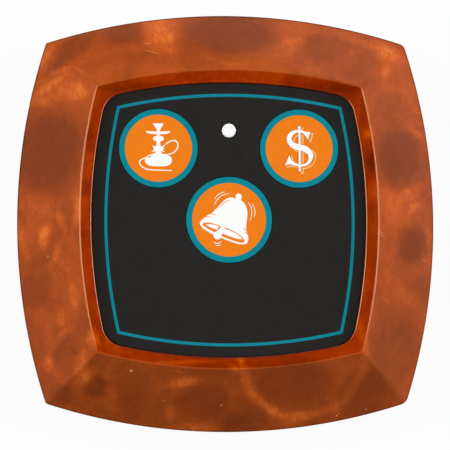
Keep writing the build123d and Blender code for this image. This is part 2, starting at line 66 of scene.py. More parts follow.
# %% Node helpers
def add(tree, kind, sockets=None, **settings):
    """Makes a node; a socket gets a number, a colour or another node's output."""
    node = tree.nodes.new(kind)
    for name, value in settings.items():
        setattr(node, name, value)
    for name, value in (sockets or {}).items():
        if isinstance(value, Value):
            tree.links.new(value.socket, node.inputs[name])
        else:
            node.inputs[name].default_value = value
    return node


def output(tree, kind, sockets=None, name=0, **settings):
    """Makes a node and returns one of its outputs."""
    return Value(add(tree, kind, sockets, **settings).outputs[name])


def calc(operation, *numbers, clamp=False):
    """One arithmetic step; at least one of the numbers is a Value."""
    tree = next(number.tree for number in numbers if isinstance(number, Value))
    sockets = dict(enumerate(numbers))
    return output(tree, "ShaderNodeMath", sockets, operation=operation, use_clamp=clamp)


def method(operation):
    """One of Python's operators as an arithmetic node."""
    return lambda *numbers: calc(operation, *numbers)


class Value:
    """A node's output; arithmetic on it adds nodes."""

    def __init__(self, socket):
        self.socket, self.tree = socket, socket.id_data

    __add__, __sub__ = method("ADD"), method("SUBTRACT")
    __mul__, __truediv__ = method("MULTIPLY"), method("DIVIDE")
    __mod__, __pow__, __abs__ = method("MODULO"), method("POWER"), method("ABSOLUTE")

    def __rsub__(self, other):
        return calc("SUBTRACT", other, self)


def largest(first, *others):
    """The largest of several numbers."""
    for other in others:
        first = calc("MAXIMUM", first, other)
    return first


def soft_step(value, low, high, start=0.0, end=1.0):
    """Goes smoothly from start to end while value goes from low to high."""
    sockets = {"Value": value, "From Min": low, "From Max": high, "To Min": start, "To Max": end}
    return output(value.tree, "ShaderNodeMapRange", sockets, interpolation_type="SMOOTHSTEP")


def xyz(vector):
    """The three parts of a vector."""
    return [Value(part) for part in add(vector.tree, "ShaderNodeSeparateXYZ", {0: vector}).outputs]


def scaled(vector, factor):
    """A vector or a colour times a number."""
    sockets = {0: vector, "Scale": factor}
    return output(vector.tree, "ShaderNodeVectorMath", sockets, operation="SCALE")


# %% [markdown]
# ## Materials: the common start
# A finish is measured in millimetres, so every material starts from the object's own
# coordinates times a thousand. They stay put when a key moves or the camera walks round.


# %% Start of a material
def new_material(name, roughness, metallic=0.0):
    """A material, its shader's inputs and its coordinates in millimetres."""
    material = bpy.data.materials.new(name)
    material.use_nodes = True
    inputs = material.node_tree.nodes["Principled BSDF"].inputs
    inputs["Roughness"].default_value = roughness
    inputs["Metallic"].default_value = metallic
    metres = output(material.node_tree, "ShaderNodeTexCoord", name="Object")
    return material, inputs, scaled(metres, 1 / MM)


def link(value, socket):
    """Feeds a value into an input of a node."""
    value.tree.links.new(value.socket, socket)


def noise(place, scale, detail=3.0, rough=0.5, twist=0.0):
    """Cloudy values round 0.5; scale is features per millimetre."""
    sockets = {"Vector": place, "Scale": scale, "Detail": detail, "Roughness": rough}
    sockets["Distortion"] = twist
    return output(place.tree, "ShaderNodeTexNoise", sockets)


def stretched(place, scale, turn=(0, 0, 0)):
    """Coordinates drawn out, for brushed or fibrous patterns."""
    sockets = {"Vector": place, "Scale": scale, "Rotation": [radians(a) for a in turn]}
    return output(place.tree, "ShaderNodeMapping", sockets)


def mixed(factor, first, second):
    """Colour between two colours."""
    colours = [c if isinstance(c, Value) else (*c, 1) for c in (first, second)]
    sockets = {0: factor, 6: colours[0], 7: colours[1]}
    return output(factor.tree, "ShaderNodeMix", sockets, 2, data_type="RGBA")


def mottled(cloud, colour, amount):
    """A colour that wanders by a share of itself, both ways."""
    darker = [value * (1 - amount) for value in colour]
    lighter = [min(value * (1 + amount), 1.0) for value in colour]
    return mixed(soft_step(cloud, 0.3, 0.7), darker, lighter)


def rough_up(inputs, height, depth, strength, coat=False):
    """Gives the surface relief; depth is in millimetres."""
    sockets = {"Height": height, "Distance": depth * MM, "Strength": strength}
    normal = output(height.tree, "ShaderNodeBump", sockets)
    link(normal, inputs["Normal"])
    if coat:
        link(normal, inputs["Coat Normal"])


def rough_between(inputs, value, low, high):
    """Roughness that wanders between two levels."""
    link(soft_step(value, 0.3, 0.7, low, high), inputs["Roughness"])


# %% [markdown]
# ## The resin
# The housing is polished resin that imitates burl: reddish brown, with flat smoky eyes, brighter
# fibrous clouds, one long amber ring, and a few pale specks. It could be painted on an image,
# but an image gets blurred and needs a UV map. Here the eyes and clouds have places and sizes
# of their own, and noise bends their outlines and breaks them up.

# %% Where the resin's eyes lie
# x, y, half width, half length, turn in degrees, how dark it is
SMOKY_EYES = [
    (0.3, 38.6, 9.8, 5.9, 0, 0.86),
    (3.4, 38.8, 3.4, 1.2, 25, 1.0),
    (-21.2, 38.6, 4.0, 3.0, 0, 0.62),
    (-32.0, 34.8, 6.6, 2.2, 40, 0.70),
    (26.4, 31.9, 6.0, 3.0, 15, 0.26),
    (20.5, 35.6, 5.0, 3.4, 0, 0.34),
    (-37.0, 14.0, 7.8, 8.8, 0, 0.90),
    (-35.8, 14.6, 1.6, 2.6, 0, 1.0),
    (-39.5, -14.2, 3.4, 3.6, 0, 0.42),
    (-32.6, -27.0, 2.6, 5.4, 12, 0.42),
    (-26.8, -33.3, 2.1, 2.4, 0, 0.75),
    (-33.2, -34.8, 2.2, 2.2, 0, 0.55),
    (-18.0, -37.5, 4.5, 3.6, 0, 0.25),
    (-5.6, -36.8, 5.4, 3.7, 0, 0.45),
    (13.0, -32.6, 8.0, 5.0, 0, 0.50),
    (3.2, -40.4, 5.0, 2.6, 8, 0.65),
    (28.6, -34.6, 5.6, 4.4, -25, 0.50),
    (35.0, 12.9, 5.2, 6.9, 0, 0.92),
    (32.2, 23.0, 2.6, 3.4, 0, 0.26),
    (33.3, 11.3, 0.9, 1.0, 0, 1.0),
    (40.3, 12.0, 1.4, 3.8, 0, 0.45),
    (37.2, -4.9, 3.2, 4.1, 0, 0.86),
    (40.2, -14.0, 3.0, 4.0, 0, 0.32),
    (33.6, -26.5, 6.0, 9.0, 0, 0.62),
]

# %% Where the resin is bright
# x, y, half width, half length, turn in degrees, strength
AMBER_CLOUDS = [
    (-13.2, 37.8, 3.6, 4.4, 0, 0.80),
    (-11.4, 34.4, 1.4, 1.8, 20, 0.55),
    (12.6, 38.2, 3.2, 4.6, 0, 0.48),
    (26.0, 37.8, 6.5, 1.3, -18, 0.42),
    (33.0, 34.6, 3.6, 2.2, -28, 0.74),
    (32.6, 30.8, 1.3, 2.2, 0, 0.58),
    (37.0, 24.4, 2.0, 4.6, 0, 0.16),
    (-37.0, 33.4, 1.9, 3.2, -26, 0.90),
    (-35.2, 27.9, 4.0, 1.3, 33, 0.90),
    (-33.4, 30.6, 3.2, 0.6, 8, 0.70),
    (-29.4, 29.6, 2.8, 0.6, -32, 0.70),
    (-30.3, 26.2, 2.3, 2.2, 0, 1.0),
    (-32.4, 27.6, 5.6, 3.0, 10, 0.52),
    (-37.2, 24.2, 1.8, 1.5, 0, 0.55),
    (-38.6, 3.6, 4.6, 2.8, 0, 0.35),
    (-30.5, 1.6, 0.9, 3.4, 0, 0.85),
    (-36.8, -2.9, 1.2, 2.7, -10, 0.95),
    (-33.9, 0.2, 0.8, 3.2, 24, 0.55),
    (-34.8, -7.4, 0.8, 2.6, -22, 0.62),
    (-41.2, -4.0, 1.0, 5.0, 8, 0.55),
    (-31.0, -15.8, 1.1, 3.0, 10, 0.50),
    (-33.6, -19.4, 0.9, 2.0, 0, 0.45),
    (-33.7, -24.0, 0.9, 2.8, -38, 0.65),
    (-36.0, -28.6, 1.0, 1.8, 0, 0.60),
    (-27.4, -23.6, 1.3, 2.0, 10, 0.95),
    (-29.6, -28.4, 0.9, 2.4, 0, 0.75),
    (-28.6, -31.2, 2.6, 1.7, 38, 0.85),
    (-29.8, -30.4, 1.6, 3.2, -6, 0.80),
    (-23.8, -34.0, 1.2, 4.6, 0, 0.35),
    (-9.6, -32.6, 3.6, 1.1, 8, 0.85),
    (-11.6, -38.8, 1.2, 1.9, 0, 0.60),
    (-6.6, -41.7, 5.2, 1.1, 4, 0.65),
    (0.9, -30.2, 1.0, 1.0, 0, 0.60),
    (38.7, 18.4, 1.9, 0.9, -32, 0.70),
    (33.0, 3.4, 2.6, 4.0, 0, 0.42),
    (36.2, 5.4, 3.4, 1.6, 25, 0.45),
    (38.2, 2.5, 0.7, 2.0, -52, 0.55),
    (40.9, -2.4, 0.9, 2.6, 0, 0.62),
    (36.2, -15.6, 2.8, 2.0, 0, 0.32),
]
# the long ring: x, y, half width, half length, turn in degrees, strength
AMBER_RING = (14.8, -27.0, 12.8, 12.6, 0, 0.85)
# the same for the wall round the window
WALL_EYES = [
    (29.3, 11.8, 1.6, 3.0, 0, 0.80),
    (28.2, 22.4, 1.6, 3.0, 0, 0.60),
    (-28.9, 6.3, 1.6, 1.8, 0, 0.70),
    (-28.2, 17.4, 1.6, 1.8, 0, 0.45),
]
WALL_CLOUDS = [
    (28.8, 17.3, 2.2, 1.3, 0, 0.80),
    (29.6, 5.8, 2.2, 2.2, 0, 0.60),
    (-28.4, 11.8, 1.8, 2.0, 0, 0.30),
    (-9.0, -28.6, 9.0, 0.7, 3, 0.70),
    (24.0, 28.2, 2.5, 0.5, -12, 0.40),
]
# pale specks, and scratches as very slender ellipses
PALE_MARKS = [
    (-16.15, 36.1, 0.85, 0.05, -8, 0.55),
    (-15.3, 34.15, 1.75, 0.045, -19, 0.50),
    (30.3, -3.0, 1.3, 0.04, -28, 0.60),
    (30.2, -2.4, 1.1, 0.04, -28, 0.50),
    (40.3, -7.7, 0.6, 0.04, -20, 0.45),
    (-19.7, -30.3, 0.34, 0.17, -15, 0.80),
    (-1.4, -37.1, 0.15, 0.15, 0, 0.75),
    (22.3, -39.2, 0.16, 0.13, 0, 0.70),
    (22.8, -38.8, 0.13, 0.11, 0, 0.60),
    (28.3, -37.9, 0.14, 0.12, 0, 0.55),
    (-36.3, -7.2, 0.14, 0.12, 0, 0.55),
]
print("eyes:", len(SMOKY_EYES), "clouds:", len(AMBER_CLOUDS), "marks:", len(PALE_MARKS))


# %% Distance to an ellipse
def from_ellipse(place, x, y, half_x, half_y, turn):
    """0 in the ellipse's middle, 1 on its outline; height makes hardly any difference."""
    sockets = {"Vector": place, "Location": (x, y, 0), "Scale": (half_x, half_y, 1000)}
    sockets["Rotation"] = (0, 0, radians(turn))
    near = output(place.tree, "ShaderNodeMapping", sockets, vector_type="TEXTURE")
    return output(place.tree, "ShaderNodeVectorMath", {0: near}, "Value", operation="LENGTH")


def bent(place, scale, reach):
    """Coordinates pushed about by noise, up to reach millimetres."""
    sockets = {"Vector": place, "Scale": scale, "Detail": 2.0}
    cloud = output(place.tree, "ShaderNodeTexNoise", sockets, "Color")
    sockets = {0: cloud, 1: (0.5, 0.5, 0.5)}
    push = output(place.tree, "ShaderNodeVectorMath", sockets, operation="SUBTRACT")
    sockets = {0: place, 1: scaled(push, 2 * reach)}
    return output(place.tree, "ShaderNodeVectorMath", sockets, operation="ADD")


# %% The resin's pattern
def patches(place, rows, outer, inner):
    """The strongest of several soft ellipses at each point."""
    return largest(
        *(
            soft_step(from_ellipse(place, *ellipse), outer, inner) * strength
            for *ellipse, strength in rows
        )
    )


def burl_tone(place):
    """0 is smoky brown, 0.5 reddish brown and 1 bright amber."""
    wavy = bent(bent(place, 0.13, 1.0), 0.5, 0.35)
    fibres = noise(stretched(wavy, (1.0, 0.5, 0.7), (0, 0, 12)), 1.1, 4, 0.6, 0.5)
    broken = noise(wavy, 0.5, 3, 0.55, 0.3)
    dark = patches(wavy, SMOKY_EYES, 1.32, 0.55) * soft_step(broken, 0.3, 0.7, 1.06, 0.86)
    bright = patches(wavy, AMBER_CLOUDS, 1.45, 0.22)
    bright *= soft_step(fibres, 0.32, 0.68, 0.84, 1.16)
    bright *= soft_step(broken, 0.30, 0.65, 0.82, 1.12)
    *ring, strength = AMBER_RING
    away = from_ellipse(wavy, *ring)
    band = soft_step(away, 0.85, 0.99) * soft_step(away, 1.12, 0.99) * strength
    band *= soft_step(xyz(place)[0], 10.0, 24.0, 1.0, 0.7)
    band *= soft_step(fibres, 0.3, 0.7, 0.85, 1.1)
    bright = largest(bright, band)
    flecks = noise(stretched(wavy, (0.55, 1.3, 0.8), (0, 0, 38)), 0.75, 2, 0.5, 0.4)
    flecks = soft_step(flecks, 0.52, 0.70) * soft_step(noise(place, 0.09, 2), 0.46, 0.60)
    haze = soft_step(noise(place, 0.14, 4, 0.55, 0.5), 0.28, 0.72, -0.13, 0.11)
    grain = soft_step(fibres, 0.25, 0.75, -0.05, 0.06)
    fine = soft_step(noise(place, 2.6, 2, 0.6), 0.3, 0.7, -0.035, 0.035)
    tone = (haze + grain + flecks * 0.13) * (1 - dark * 0.75) + 0.5
    return tone + fine + bright * 0.42 - dark * 0.38, wavy


# %% The resin's colours and gloss
def colour_ramp(value, stops):
    """Colours along a value, given as (place, colour) pairs."""
    node = add(value.tree, "ShaderNodeValToRGB", {"Fac": value})
    ramp = node.color_ramp
    while len(ramp.elements) < len(stops):
        ramp.elements.new(1.0)
    for element, (place, colour) in zip(ramp.elements, stops):
        element.position, element.color = place, (*colour, 1)
    return Value(node.outputs["Color"])


BURL_STOPS = [
    (0.0, (0.178, 0.036, 0.0082)),
    (0.2, (0.233, 0.044, 0.0096)),
    (0.5, (0.370, 0.066, 0.0108)),
    (0.75, (0.52, 0.094, 0.0135)),
    (0.9, (0.62, 0.130, 0.0200)),
    (1.0, (0.72, 0.160, 0.0245)),
]
WALL_STOPS = [
    (0.0, (0.12, 0.010, 0.0001)),
    (0.45, (0.36, 0.031, 0.0002)),
    (0.75, (0.56, 0.068, 0.0003)),
    (1.0, (0.80, 0.17, 0.002)),
]
# painted highlight colour of the ridge and the lip
RIDGE_HIGHLIGHT = (0.94, 0.32, 0.12)
# painted shade: colour of a thin dark line along the widest edge
EDGE_SHADE_COLOUR = (0.030, 0.010, 0.004)
EDGE_SHADE_Z = 7.05  # height of the painted dark line on the widest edge, mm
PALE_RESIN = (0.95, 0.50, 0.26)


def burl_resin():
    """Polished resin; inset is 0 at the widest edge, 12.5 at the ridge, 14.8 at the lip."""
    material, inputs, place = new_material("burl_resin", 0.38)
    tone, wavy = burl_tone(place)
    inset = output(place.tree, "ShaderNodeAttribute", name="Fac", attribute_name="inset_mm")
    x, y, z = xyz(place)

    # deeper colour on the wall inside the ridge; painted light on its far side, painted shade
    # elsewhere
    wall = soft_step(inset, 12.50, 12.72)
    dark = patches(wavy, WALL_EYES, 1.3, 0.4) * 0.30
    bright = patches(wavy, WALL_CLOUDS, 1.3, 0.1) * 0.42
    deep = colour_ramp(tone + bright - (dark + 0.05), WALL_STOPS)
    painted_wall_light = soft_step(y, 26.0, 28.5, 0.84, 1.48) * soft_step(y, -28.0, -26.0, 0.93, 1.0)
    colour = mixed(wall, colour_ramp(tone, BURL_STOPS), scaled(deep, painted_wall_light))

    # painted highlight: the ridge and the lip are lightened to pale orange where they face the
    # side lights
    ridge = soft_step(inset, 12.26, 12.40) * soft_step(inset, 12.66, 12.52)
    ridge = largest(ridge, soft_step(inset, 14.60, 14.68))
    sideways = soft_step(abs(x) - abs(y), -1.0, 1.5) * soft_step(y, -26.0, -18.0, 0.2, 1.0)
    colour = mixed(ridge * (sideways * 0.6), colour, RIDGE_HIGHLIGHT)

    # painted shade: a thin dark line on the widest edge, stronger towards the far side
    painted_edge_shade = soft_step(abs(z - EDGE_SHADE_Z), 0.26, 0.10, 0.0, 0.62)
    colour = mixed(painted_edge_shade * soft_step(y, -10.0, 30.0, 0.6, 1.0), colour, EDGE_SHADE_COLOUR)

    cells = {"Vector": place, "Scale": 0.13, "Randomness": 1.0}
    dots = output(place.tree, "ShaderNodeTexVoronoi", cells, "Distance")
    dust = soft_step(dots, 0.026, 0.014) * 0.5
    marks = largest(patches(place, PALE_MARKS, 1.3, 0.6), dust) * (1 - wall)
    link(mixed(marks, colour, PALE_RESIN), inputs["Base Color"])

    # the bevel is the glossiest; the ridge is dull where it doesn't face sideways
    inputs["Specular IOR Level"].default_value = 0.0
    inputs["Coat Roughness"].default_value = 0.05
    gloss = soft_step(inset, 12.55, 12.75, 0.34, 0.04) * soft_step(inset, 0.2, 0.6, 0.1, 1.0)
    gloss *= 1 - (0.8 - sideways * 0.8) * soft_step(inset, 12.1, 12.3)
    lip = soft_step(inset, 14.50, 14.60, 0.0, 0.45)
    link(largest(gloss, lip), inputs["Coat Weight"])
    rough_up(inputs, noise(place, 0.35, 3), 0.02, 0.35, coat=True)
    return material


resin = burl_resin()
print("resin nodes:", len(resin.node_tree.nodes))

# %% [markdown]
# ## The film and its inks
# The panel is one satin polycarbonate film, printed from behind. All its colours therefore
# lie under the same fine texture, and only the ink differs. One function makes the film in
# any ink, with the faint unevenness of screen printing.


# %% Film in any ink
def printed_film(name, colour, uneven=0.06):
    """Satin film over one ink."""
    material, inputs, place = new_material(name, 0.42)
    link(mottled(noise(place, 0.7, 4, 0.6), colour, uneven), inputs["Base Color"])
    inputs["Specular IOR Level"].default_value = 0.10
    rough_up(inputs, noise(place, 9.0, 2), 0.006, 0.5)
    rough_between(inputs, noise(place, 0.2, 3), 0.38, 0.48)
    return material


black_film = printed_film("black_film", (0.0194, 0.0180, 0.0165))
teal_ink = printed_film("teal_ink", (0.0022, 0.236, 0.300))
orange_ink = printed_film("orange_ink", (0.885, 0.214, 0.008), 0.03)
white_ink = printed_film("white_ink", (0.985, 0.985, 0.975), 0.008)
cream_ink = printed_film("cream_ink", (0.95, 0.68, 0.30), 0.02)
shade_ink = printed_film("shade_ink", (0.68, 0.15, 0.006), 0.03)
print("inks:", [m.name for m in bpy.data.materials if m.name.endswith("_ink")])

# %% [markdown]
# ## Moulded plastics, rubber and metals
# A moulded part has a fine, even texture from its tool, and its gloss wanders slightly. A
# rolled or drawn metal has long fine streaks instead. Two functions with a few numbers each
# cover the parts inside, so that each still gets a scale and gloss of its own.


# %% Plastics and metals
def moulded(name, colour, roughness, grain=4.0, depth=0.01, mottle=0.12):
    """Plastic, rubber or ceramic with a fine texture."""
    material, inputs, place = new_material(name, roughness)
    cloud = noise(place, 0.5, 4, 0.6)
    link(mottled(cloud, colour, mottle), inputs["Base Color"])
    rough_up(inputs, noise(place, grain, 3, 0.6), depth, 0.6)
    rough_between(inputs, cloud, roughness - 0.05, roughness + 0.07)
    return material


def metal(name, colour, roughness, streaks=(1, 12, 12), depth=0.003):
    """Metal with fine streaks along one direction."""
    material, inputs, place = new_material(name, roughness, 1.0)
    lines = noise(stretched(place, streaks), 1.4, 4, 0.6)
    dull = [value * 0.88 for value in colour]
    link(mixed(soft_step(lines, 0.3, 0.7), dull, colour), inputs["Base Color"])
    rough_up(inputs, lines, depth, 0.6)
    rough_between(inputs, noise(place, 0.6, 3), roughness - 0.06, roughness + 0.08)
    return material


base_plastic = moulded("base_plastic", (0.032, 0.031, 0.030), 0.52, 3.2, 0.03)
plate_plastic = moulded("plate_plastic", (0.038, 0.037, 0.036), 0.48, 5.0)
key_plastic = moulded("key_plastic", (0.72, 0.72, 0.69), 0.40, 6.0, 0.006, 0.04)
switch_plastic = moulded("switch_plastic", (0.030, 0.030, 0.031), 0.50, 7.0)
stem_plastic = moulded("stem_plastic", (0.060, 0.058, 0.056), 0.38, 8.0, 0.005)
chip_plastic = moulded("chip_plastic", (0.018, 0.018, 0.019), 0.58, 9.0, 0.008, 0.2)
foot_rubber = moulded("foot_rubber", (0.028, 0.028, 0.028), 0.78, 2.6, 0.04, 0.2)
tape = moulded("tape", (0.78, 0.76, 0.68), 0.55, 2.0, mottle=0.05)
resistor_body = moulded("resistor_body", (0.035, 0.036, 0.042), 0.45, 6.0)
capacitor_body = moulded("capacitor_body", (0.46, 0.33, 0.21), 0.42, 6.0)
zinc = metal("bright_zinc", (0.78, 0.78, 0.80), 0.28, (3, 3, 1))
spring_steel = metal("spring_steel", (0.62, 0.62, 0.61), 0.26)
tinned_lead = metal("tinned_lead", (0.74, 0.74, 0.72), 0.36, (2, 2, 9))
can_steel = metal("can_steel", (0.70, 0.69, 0.66), 0.30, (6, 6, 1))
antenna_strip = metal("antenna_strip", (0.80, 0.74, 0.58), 0.32, (9, 1, 9))
battery_sleeve = metal("battery_sleeve", (0.72, 0.72, 0.73), 0.33, (1, 9, 9))
print("materials so far:", len(bpy.data.materials))

# %% [markdown]
# ## The circuit board and the lamp
# A circuit board is glass cloth under green solder mask: the weave shows as a faint check,
# and copper tracks under the mask stand out paler. The indicator is a white diffused lens,
# milky rather than clear.


# %% Board and lens
def solder_mask():
    """Green mask over woven glass and copper tracks."""
    material, inputs, place = new_material("solder_mask", 0.32)
    waves = {"Vector": place, "Scale": 0.55, "Distortion": 0.6, "Detail": 1.0}
    warp, weft = (
        output(place.tree, "ShaderNodeTexWave", waves, "Fac", bands_direction=axis)
        for axis in "XY"
    )
    weave = warp * weft
    tracks = {"Vector": place, "Scale": 0.14, "Mortar Size": 0.035, "Brick Width": 0.9}
    copper = output(place.tree, "ShaderNodeTexBrick", tracks, "Fac")
    green = mixed(weave, (0.008, 0.085, 0.030), (0.012, 0.120, 0.046))
    link(mixed(copper * 0.6, green, (0.03, 0.22, 0.075)), inputs["Base Color"])
    rough_up(inputs, weave + copper, 0.02, 0.4)
    return material


def diffused_lens():
    """Milky white plastic."""
    material, inputs, place = new_material("diffused_lens", 0.30)
    milk = mixed(noise(place, 1.2), (0.975, 0.975, 0.96), (0.995, 0.995, 0.985))
    link(milk, inputs["Base Color"])
    inputs["Specular IOR Level"].default_value = 0.3
    return material


board_green = solder_mask()
lens_white = diffused_lens()

# %% [markdown]
# ## From a modifier to a plain mesh
# Geometry Nodes live on a modifier, and the finished piece must be an ordinary mesh. The
# evaluated shape is copied into a new mesh, its doubles are merged, its faces turned outwards
# and its hard edges marked, and the helper object goes.

# %% Evaluate, close and check a piece
MERGE = 1e-6  # points closer than this are one, m
HARD = radians(32)  # an edge that bends more than this stays sharp


def new_object(name, data):
    """A new object in the scene."""
    made = bpy.data.objects.new(name, data)
    bpy.context.scene.collection.objects.link(made)
    return made


def evaluated_mesh(helper):
    """The helper's evaluated shape; the helper itself goes."""
    evaluated = helper.evaluated_get(bpy.context.evaluated_depsgraph_get())
    mesh = bpy.data.meshes.new_from_object(evaluated)
    bpy.data.objects.remove(helper)
    return mesh


def tidy_mesh(mesh, merge=MERGE):
    """Merges doubles, turns faces outwards, marks hard edges; returns open edges and volume."""
    solid = bmesh.new()
    solid.from_mesh(mesh)
    bmesh.ops.remove_doubles(solid, verts=solid.verts, dist=merge)
    bmesh.ops.recalc_face_normals(solid, faces=solid.faces)
    for edge in solid.edges:
        edge.smooth = len(edge.link_faces) == 2 and edge.calc_face_angle() < HARD
    for face in solid.faces:
        face.smooth = True
    open_edges = sum(len(edge.link_faces) != 2 for edge in solid.edges)
    volume = solid.calc_volume(signed=True) / MM**3
    solid.to_mesh(mesh)
    solid.free()
    return open_edges, volume


def plain_piece(helper, name):
    """A new object with the helper's evaluated shape."""
    mesh = evaluated_mesh(helper)
    mesh.name = name
    open_edges, volume = tidy_mesh(mesh)
    piece = new_object(name, mesh)
    print(name, "faces:", len(mesh.polygons), "open edges:", open_edges, f"{volume:.1f} mm3")
    return piece


def point_object(name, points):
    """Helper whose mesh is only a row of points."""
    mesh = bpy.data.meshes.new(name)
    mesh.from_pydata(points, [], [])
    return new_object(name, mesh)


def modified(tree, name, values):
    """Runs a tree on an empty mesh; values are the tree's inputs by name."""
    helper = point_object(name + "_helper", [])
    modifier = helper.modifiers.new("nodes", "NODES")
    modifier.node_group = tree
    known = {item.name: item.identifier for item in tree.interface.items_tree}
    for key, value in values.items():
        modifier[known[key]] = value
    return helper


# %% [markdown]
# ## Parts that both trees use
# Two trees make the new pieces. Both bend a flat grid: its rows follow the points of a small
# helper mesh, which draws the section or the profile, and its columns go round.


# %% Tree parts
def new_tree(name, kinds):
    """An empty Geometry Nodes tree; returns it and its inputs' values by name."""
    tree = bpy.data.node_groups.new(name, "GeometryNodeTree")
    for label, kind in kinds.items():
        tree.interface.new_socket(label, in_out="INPUT", socket_type="NodeSocket" + kind)
    tree.interface.new_socket("Geometry", in_out="OUTPUT", socket_type="NodeSocketGeometry")
    given = tree.nodes.new("NodeGroupInput").outputs
    return tree, {label: Value(given[label]) for label in kinds}


def shape_of(thing):
    """The mesh of an object that a tree is given."""
    kind, sockets = "GeometryNodeObjectInfo", {"Object": thing}
    return output(thing.tree, kind, sockets, "Geometry", transform_space="ORIGINAL")


def count_of(shape):
    """How many points a shape has."""
    return output(shape.tree, "GeometryNodeAttributeDomainSize", {0: shape}, "Point Count")


def point_of(shape, number):
    """The place of one of a shape's points."""
    sockets = {0: shape, 1: output(shape.tree, "GeometryNodeInputPosition"), 2: number}
    kind = "GeometryNodeSampleIndex"
    return output(shape.tree, kind, sockets, data_type="FLOAT_VECTOR", domain="POINT")


def grid_of(columns, rows):
    """A flat grid, and the column and row of each of its points."""
    sizes = {"Vertices X": columns, "Vertices Y": rows}
    grid = output(rows.tree, "GeometryNodeMeshGrid", sizes, "Mesh")
    index = output(rows.tree, "GeometryNodeInputIndex")
    column = calc("FLOOR", (index + 0.5) / rows)
    return grid, column, index - column * rows


def swung(vector, angle):
    """A vector turned about Z."""
    sockets = {"Vector": vector, "Angle": angle}
    return output(vector.tree, "ShaderNodeVectorRotate", sockets, rotation_type="Z_AXIS")


def bent_grid(grid, place):
    """Moves the grid's points to their places and merges those that meet."""
    moved = output(grid.tree, "GeometryNodeSetPosition", {"Geometry": grid, "Position": place})
    sockets = {"Geometry": moved, "Distance": MERGE}
    return output(grid.tree, "GeometryNodeMergeByDistance", sockets)


def choose(switch, first, second):
    """first where switch is 0, second where it is 1."""
    sockets = {0: switch, 2: first, 3: second}
    return output(switch.tree, "ShaderNodeMix", sockets, data_type="FLOAT")


def end_tree(geometry, material):
    """Closes a tree: real geometry, smooth shading and its material."""
    tree = geometry.tree
    real = output(tree, "GeometryNodeRealizeInstances", {0: geometry})
    sockets = {0: output(tree, "GeometryNodeSetShadeSmooth", {0: real}), "Material": material}
    done = output(tree, "GeometryNodeSetMaterial", sockets)
    add(tree, "NodeGroupOutput", {"Geometry": done})
    return tree


# %% [markdown]
# ## The bowed ring
# The housing has one section all the way round, but it isn't a lathe part: its plan is a
# square whose four sides are bowed. Every point of the section keeps its inset from the
# widest edge, so the rule is short. A side is an arc about its bow's centre, a corner is a
# small arc that joins two sides, and both shrink with the inset. The tree bends a flat grid
# by that rule: one direction runs round the plan, the other along the section.

# %% Geometry Nodes: bowed ring
SOFT_INSET = 12.4  # the corners' extra rounding has faded out here, mm


def bowed_ring_tree():
    """Section points hold inset, corner radius and height."""
    kinds = {"Section": "Object", "Side Radius": "Float", "Bow Centre": "Float"}
    kinds |= {"Side Steps": "Int", "Corner Steps": "Int"}
    kinds |= {"Softer East": "Float", "Softer South": "Float", "Material": "Material"}
    tree, given = new_tree("bowed_ring", kinds)
    centre, side_steps = given["Bow Centre"], given["Side Steps"]
    section = shape_of(given["Section"])
    count = count_of(section)
    quarter = side_steps + given["Corner Steps"]
    around = quarter * 4
    grid, column, row = grid_of(around + 1, count + 1)
    turn = column % around
    side = calc("FLOOR", (turn + 0.5) / quarter)
    step = turn - side * quarter
    inset, corner, height = xyz(point_of(section, row % count))
    spread = step / side_steps * 2 - 1
    in_corner = step - side_steps
    is_corner = calc("GREATER_THAN", in_corner, -0.5)

    # the direction of the nearest corner says how much softer it is
    early = calc("LESS_THAN", spread, 0) * (-pi / 2)
    towards = side * (pi / 2) + pi / 4 + choose(is_corner, early, 0.0)
    softer = calc("COSINE", towards) * given["Softer East"]
    softer -= calc("SINE", towards) * given["Softer South"]
    corner += softer * calc("SUBTRACT", 1, inset / (SOFT_INSET * MM), clamp=True)

    # pivot is where the corner's arc is centred, and swing is half of a side's angle
    bow = given["Side Radius"] - inset
    root = calc("SQRT", (bow - corner) ** 2 * 2 - centre**2)
    pivot = (root - centre) * 0.5
    swing = calc("ARCTAN2", pivot, pivot + centre)
    in_arc = swing + (pi / 2 - swing * 2) * (in_corner / given["Corner Steps"])
    angle = choose(is_corner, swing * spread, in_arc)
    radius = choose(is_corner, bow, corner)
    x = choose(is_corner, centre * -1, pivot) + radius * calc("COSINE", angle)
    y = choose(is_corner, 0.0, pivot) + radius * calc("SINE", angle)
    point = output(tree, "ShaderNodeCombineXYZ", {"X": x, "Y": y, "Z": height})
    sockets = {"Geometry": grid, "Name": "inset_mm", "Value": inset / MM}
    kind = "GeometryNodeStoreNamedAttribute"
    kept = output(tree, kind, sockets, data_type="FLOAT", domain="POINT")
    return end_tree(bent_grid(kept, swung(point, side * (pi / 2))), given["Material"])


ring_tree = bowed_ring_tree()
print("ring tree nodes:", len(ring_tree.nodes))

# %% [markdown]
# ## The housing's section
# The section is drawn as a few corners, and a helper rounds them. Beside each rounding it
# adds one more row close by. These support rows keep the smooth shading of a rounded edge
# from spreading over the flat faces next to it, which would look like soft putty.


# %% Round a section's corners
def rounded_rows(corners, steps=5, support=0.18):
    """Rounds corners like those of HOUSING_SECTION; returns the points that the tree reads."""
    rows = []
    for index, (inset, height, plan, rounding) in enumerate(corners):
        here = Vector((inset, height))
        before, after = (Vector(corners[i % len(corners)][:2]) for i in (index - 1, index + 1))
        back, ahead = (before - here).normalized(), (after - here).normalized()
        bend = pi - acos(max(-1, min(1, back.dot(ahead))))
        points = [here]
        if rounding:
            cut = rounding * tan(bend / 2)
            room = [(near - here).length / 2 for near in (before, after)]
            middle = here + (back + ahead).normalized() * hypot(rounding, cut)
            first, last = here + back * cut - middle, here + ahead * cut - middle
            points = [here + back * max(cut, min(cut + support, room[0]))]
            for step in range(steps + 1):
                share = step / steps
                arm = first * sin((1 - share) * bend) + last * sin(share * bend)
                points.append(middle + arm / sin(bend))
            points.append(here + ahead * max(cut, min(cut + support, room[1])))
        rows += [(point.x * MM, plan * MM, point.y * MM) for point in points]
    return rows


